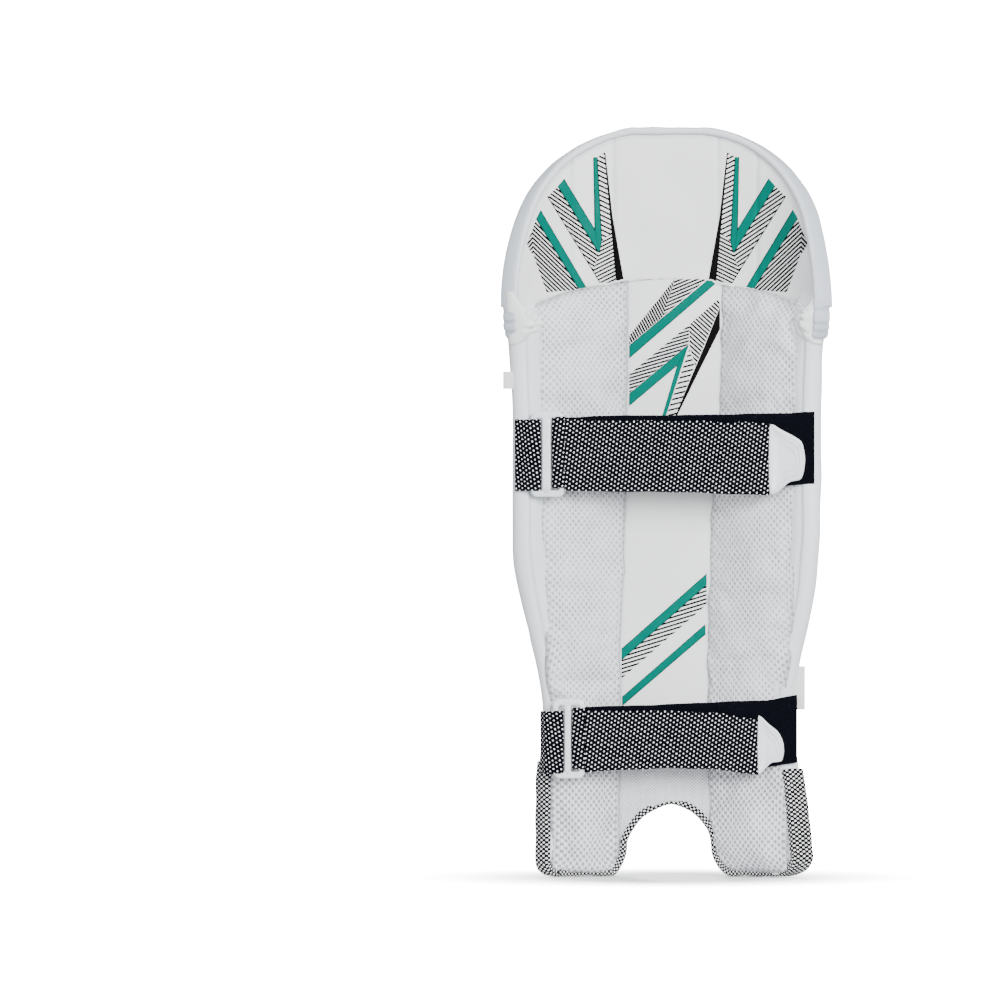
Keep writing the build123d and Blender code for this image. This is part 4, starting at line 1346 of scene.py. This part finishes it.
def ring_piece(strap):
    """Moulded ring with rounded bars: wide rails above and below the strap, and a bar between the folds."""
    low, high = strap.ring_z
    s0, s1 = strap.ring_s
    half_depth = 1.5
    outer = rounded_rectangle(s1 - s0, high - low, 6)
    inner = rounded_rectangle(s1 - s0 - 9, high - low - 11.5, 2.2)
    centre = np.array([(s0 + s1) / 2, (high + low) / 2])
    middle, half = (outer + inner) / 2, (outer - inner) / 2
    loops = []
    for a in circle(12):
        flat = centre + middle + half * squared(cos(a), .7)
        loops.append(strap.at(flat[:, 0], RING_T + squared(sin(a), .7) * half_depth, flat[:, 1]))
    ring = loft(np.stack(loops, 1), closed=True)
    left, right = strap.fold_s + .8, strap.anchor_s - .8
    across = (left + right) / 2 + (right - left) / 2 * squared(np.cos(circle(14)), .6)
    depth = RING_T + squared(np.sin(circle(14)), .6) * half_depth
    bar = loft([strap.at(across, depth, z) for z in np.linspace(low + 3.5, high - 3.5, 12)])
    piece = make(f"{strap.name}_loop_ring", merge([ring, bar]), PLASTIC)
    fit(piece, "shin_guard", "moulded_white", f"{strap.name}_ring")


def rounded(points, times=2):
    """Polygon with its corners cut down, evenly closed."""
    points = np.asarray(points, float)
    for _ in range(times):
        ahead = np.roll(points, -1, 0)
        points = np.stack([points * .8 + ahead * .2, points * .2 + ahead * .8], 1).reshape(-1, 2)
    return points


def stack(outline, levels, place):
    """Plate from an outline: levels are (inset share, depth)."""
    centre = outline.mean(0)
    return loft([place(centre + (outline - centre) * (1 - inset), depth) for inset, depth in levels])


def ridge(line, place, depth, half_width, rise):
    """Rounded ridge along a line on a plate, fading at both ends."""
    line = even(line, 1.2)
    sideways = left_of(line)
    run = np.arange(len(line))
    size = bulge(np.minimum(run, run[::-1]) / 5 + .05)
    loops = [place(line + sideways * (size * half_width * cos(a))[:, None], depth + size * rise * sin(a))
             for a in circle(10)]
    return loft(np.stack(loops, 1))


def tab_piece(strap):
    """Moulded pull tab: a rounded plate with a shallow field and plain ribs."""
    def place(flat, depth):
        return strap.at(flat[:, 0], TAB_T + depth, flat[:, 1])

    outline = rounded(strap.tab)
    levels = [(.06, 0), (.01, .3), (0, .9), (.005, 1.7), (.04, 2.25), (.09, 2.4), (.16, 2.4), (.19, 2.05),
              (.6, 1.95), (.9, 1.95)]
    shapes = [stack(outline, levels, place)]
    centre = outline.mean(0)
    for share in (.74, .5):
        line = centre + (outline - centre) * share
        line = np.roll(line, -np.argmax(line[:, 0]), 0)
        shapes.append(ridge(line[line[:, 0] < centre[0] + 4], place, 2.0, .95, .8))
    piece = make(f"{strap.name}_tab_grip", merge(shapes), PLASTIC)
    fit(piece, f"{strap.name}_strap", "moulded_white", f"{strap.name}_pull_tab")


def hook_piece(strap):
    """Hook tape under the end of the return run."""
    low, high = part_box(f"{strap.name}_hook_patch")
    s = np.linspace(strap.end_s - 8, strap.end_s + 30, 40)
    z = np.linspace(low.z / MM + 5, high.z / MM - 5, 24)[:, None]
    bristle = .12 * ripple(s, z, 3, 121)
    shape = slab(strap.at(s, REST_T - 1.05, z), strap.at(s, REST_T - 1.3 + bristle, z))
    piece = make(f"{strap.name}_hook_tape", shape, HOOKS)
    fit(piece, f"{strap.name}_strap", "hook_tape", f"{strap.name}_hook_patch")


for one_strap in (UPPER, LOWER):
    base_run(one_strap)
    return_run(one_strap)
    anchor_loop(one_strap)
    ring_piece(one_strap)
    tab_piece(one_strap)
    hook_piece(one_strap)


# ---------------------------------------------------------------- badge and labels
def badge():
    """Rounded shield with four slanted bars, a crescent and two ribs on its field."""
    low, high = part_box("badge_rim")
    cx, cz = (low.x + high.x) / 2 / MM, (low.z + high.z) / 2 / MM
    base_y = high.y / MM
    corners = np.array([(-26, 19), (-14, 24.5), (14, 24.5), (26, 19), (28.5, 6), (25.5, -14), (9, -24),
                        (-9, -24), (-25.5, -14), (-28.5, 6)])
    outline = rounded(corners, 3)

    def place(flat, depth):
        return np.stack([cx + flat[:, 0], base_y - depth + 0 * flat[:, 0], cz + flat[:, 1]], -1)

    section = ((0, -.8), (0, 1.0), (.012, 2.2), (.04, 2.9), (.075, 3.0), (.10, 2.6), (.115, 1.6), (.115, -.8))
    loops = [place(outline * (1 - inset), depth) for inset, depth in section]
    frame_piece = make("badge_frame", loft(np.stack(loops, 1), closed=True), RIM)
    fit(frame_piece, "shin_guard", "badge_rim", "badge_rim")
    plate = stack(outline * .885, [(0, -.6), (0, .9), (.02, 1.5), (.2, 1.9), (.5, 2.1), (.9, 2.15)], place)
    fit(make("badge_field", plate, PLATE), "shin_guard", "badge_plate", "badge_plate")
    bars = []
    for x in (-13.5, -4.5, 4.5, 13.5):
        bar = np.array([(x - 4.6, -4.5), (x - .4, -4.5), (x + 4.6, 11.5), (x + .4, 11.5)])
        bars.append(stack(rounded(bar, 2), [(0, 1.5), (0, 2.5), (.1, 2.9), (.5, 3.05)], place))
    crescent = np.concatenate([arc((-22.5, -8.5), (0, -15), (22.5, -8.5), 16),
                               arc((19.5, -14.5), (0, -21.8), (-19.5, -14.5), 16)])
    bars.append(stack(crescent, [(0, 1.2), (0, 2.2), (.02, 2.45)], place))
    fit(make("badge_bars", merge(bars), DARK_METAL), "shin_guard", "badge_plate")
    ribs = [ridge(arc((-w, -11.6 - drop), (0, -17.2 - drop), (w, -11.6 - drop)), place, 2.6, .4, .6)
            for w, drop in ((20.5, 0), (16.5, 2.3))]
    fit(make("badge_ribs", merge(ribs), RIM), "shin_guard", "badge_plate")

    ring = outline * 1.12 + (cx - CENTRE_X, cz)
    ring = np.concatenate([ring, ring[:1]])
    # stitches round the badge, dark for the painted shadow in the needle holes
    stitches = stitch_row(lay(ring[:, 0], -SKIN - .1, ring[:, 1]), (0, -1, 0), length=1.4, radius=.38)
    fit(make("badge_stitches", merge(stitches), STITCH_SHADOW), "shin_guard", "pu_cover")


def label(name, node, sewn_x, free_x):
    """Folded ribbon label, left blank, sewn into the edge of a wing."""
    low, high = (np.array(corner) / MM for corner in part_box(node))
    x = np.linspace(sewn_x, free_x, 14)
    z = np.linspace(low[2], high[2], 26)[:, None]
    curl = 1.2 * np.sin((x - x[0]) / (x[-1] - x[0]) * 2.4) + .5 * ripple(z, 0, 30, 131)
    y = (low[1] + high[1]) / 2 + curl
    grids = [np.stack(np.broadcast_arrays(x, y + side * .3, z), -1) for side in (-1, 1)]
    fit(make(name, slab(*grids), RIBBON), "shin_guard", "label_ribbon", node)


badge()
label("size_ribbon", "size_label", 123, 138.5)
label("care_ribbon", "care_label", -102, -118)


# ---------------------------------------------------------------- studio
LAMPS = {"rear_key": ((-1.3, 3.0, 1.3), 1.9, 225), "rear_fill": ((1.9, 2.4, .7), 1.4, 30),
         "front_key": ((.5, -3.1, 1.3), .9, 180), "front_fill": ((-1.9, -2.4, .7), 1.4, 10),
         "top": ((0, 0, 2.6), 1.0, 20)}      # place in metres, size in metres, power in watts
MIDDLE = (0, 0, .32)        # middle of the pad, in metres
FLOOR_RADIUS = .45          # metres
FLOOR_Z = -.0006            # metres, just under the pad
FADE_START = .07            # distance from the middle at which the floor starts to fade, in metres
FADE_END = .36              # distance at which it's gone


def floor():
    """Pale round floor that fades out before its rim."""
    mesh = bpy.data.meshes.new("floor")
    rim = [(cos(a) * FLOOR_RADIUS, sin(a) * FLOOR_RADIUS, FLOOR_Z) for a in circle(96)]
    mesh.from_pydata(rim, [], [list(range(len(rim)))])
    look = Look("floor", (.9, .9, .9), .9)
    distance = look.node("VectorMath", look.place(), operation="LENGTH", out=1)
    fade = look.node("MapRange", distance, FADE_START, FADE_END, 0.0, 1.0,
                     interpolation_type="SMOOTHSTEP")
    clear = look.node("BsdfTransparent")
    mix = look.node("MixShader", fade, look.shader.outputs[0], clear)
    look.tree.links.new(mix, look.tree.nodes["Material Output"].inputs["Surface"])
    mesh.materials.append(look.material)
    piece = bpy.data.objects.new("floor", mesh)
    bpy.context.scene.collection.objects.link(piece)


def surroundings():
    """Soft cool light from all round, in front of a plain white backdrop."""
    world = bpy.data.worlds.new("studio")
    world.use_nodes = True
    bpy.context.scene.world = world
    tree = world.node_tree
    background = tree.nodes["Background"]
    background.inputs["Color"].default_value = (.93, .96, 1, 1)
    background.inputs["Strength"].default_value = .9
    backdrop = tree.nodes.new("ShaderNodeBackground")
    backdrop.inputs["Color"].default_value = (1, 1, 1, 1)
    backdrop.inputs["Strength"].default_value = 30
    rays = tree.nodes.new("ShaderNodeLightPath")
    mix = tree.nodes.new("ShaderNodeMixShader")
    tree.links.new(rays.outputs["Is Camera Ray"], mix.inputs[0])
    tree.links.new(background.outputs[0], mix.inputs[1])
    tree.links.new(backdrop.outputs[0], mix.inputs[2])
    tree.links.new(mix.outputs[0], tree.nodes["World Output"].inputs["Surface"])


def lamps():
    """Round soft lamps, aimed at the middle of the pad."""
    for name, (place, size, power) in LAMPS.items():
        lamp = bpy.data.lights.new(name, "AREA")
        lamp.shape = "DISK"
        lamp.size = size
        lamp.energy = power
        light = bpy.data.objects.new(name, lamp)
        light.location = place
        aim = np.array(MIDDLE) - np.array(place)
        light.rotation_euler = Vector(aim).to_track_quat("-Z", "Y").to_euler()
        light.visible_camera = False
        bpy.context.scene.collection.objects.link(light)


def camera():
    """Long lens, level and square to the rear, with the pad right of the middle."""
    lens = bpy.data.cameras.new("camera")
    lens.lens = 339
    lens.sensor_width = 36
    lens.clip_end = 30
    viewer = bpy.data.objects.new("camera", lens)
    viewer.location = (.141, 8.0, .320)
    viewer.rotation_euler = (radians(90), 0, radians(180))
    bpy.context.scene.collection.objects.link(viewer)
    bpy.context.scene.camera = viewer


floor()
surroundings()
lamps()
camera()
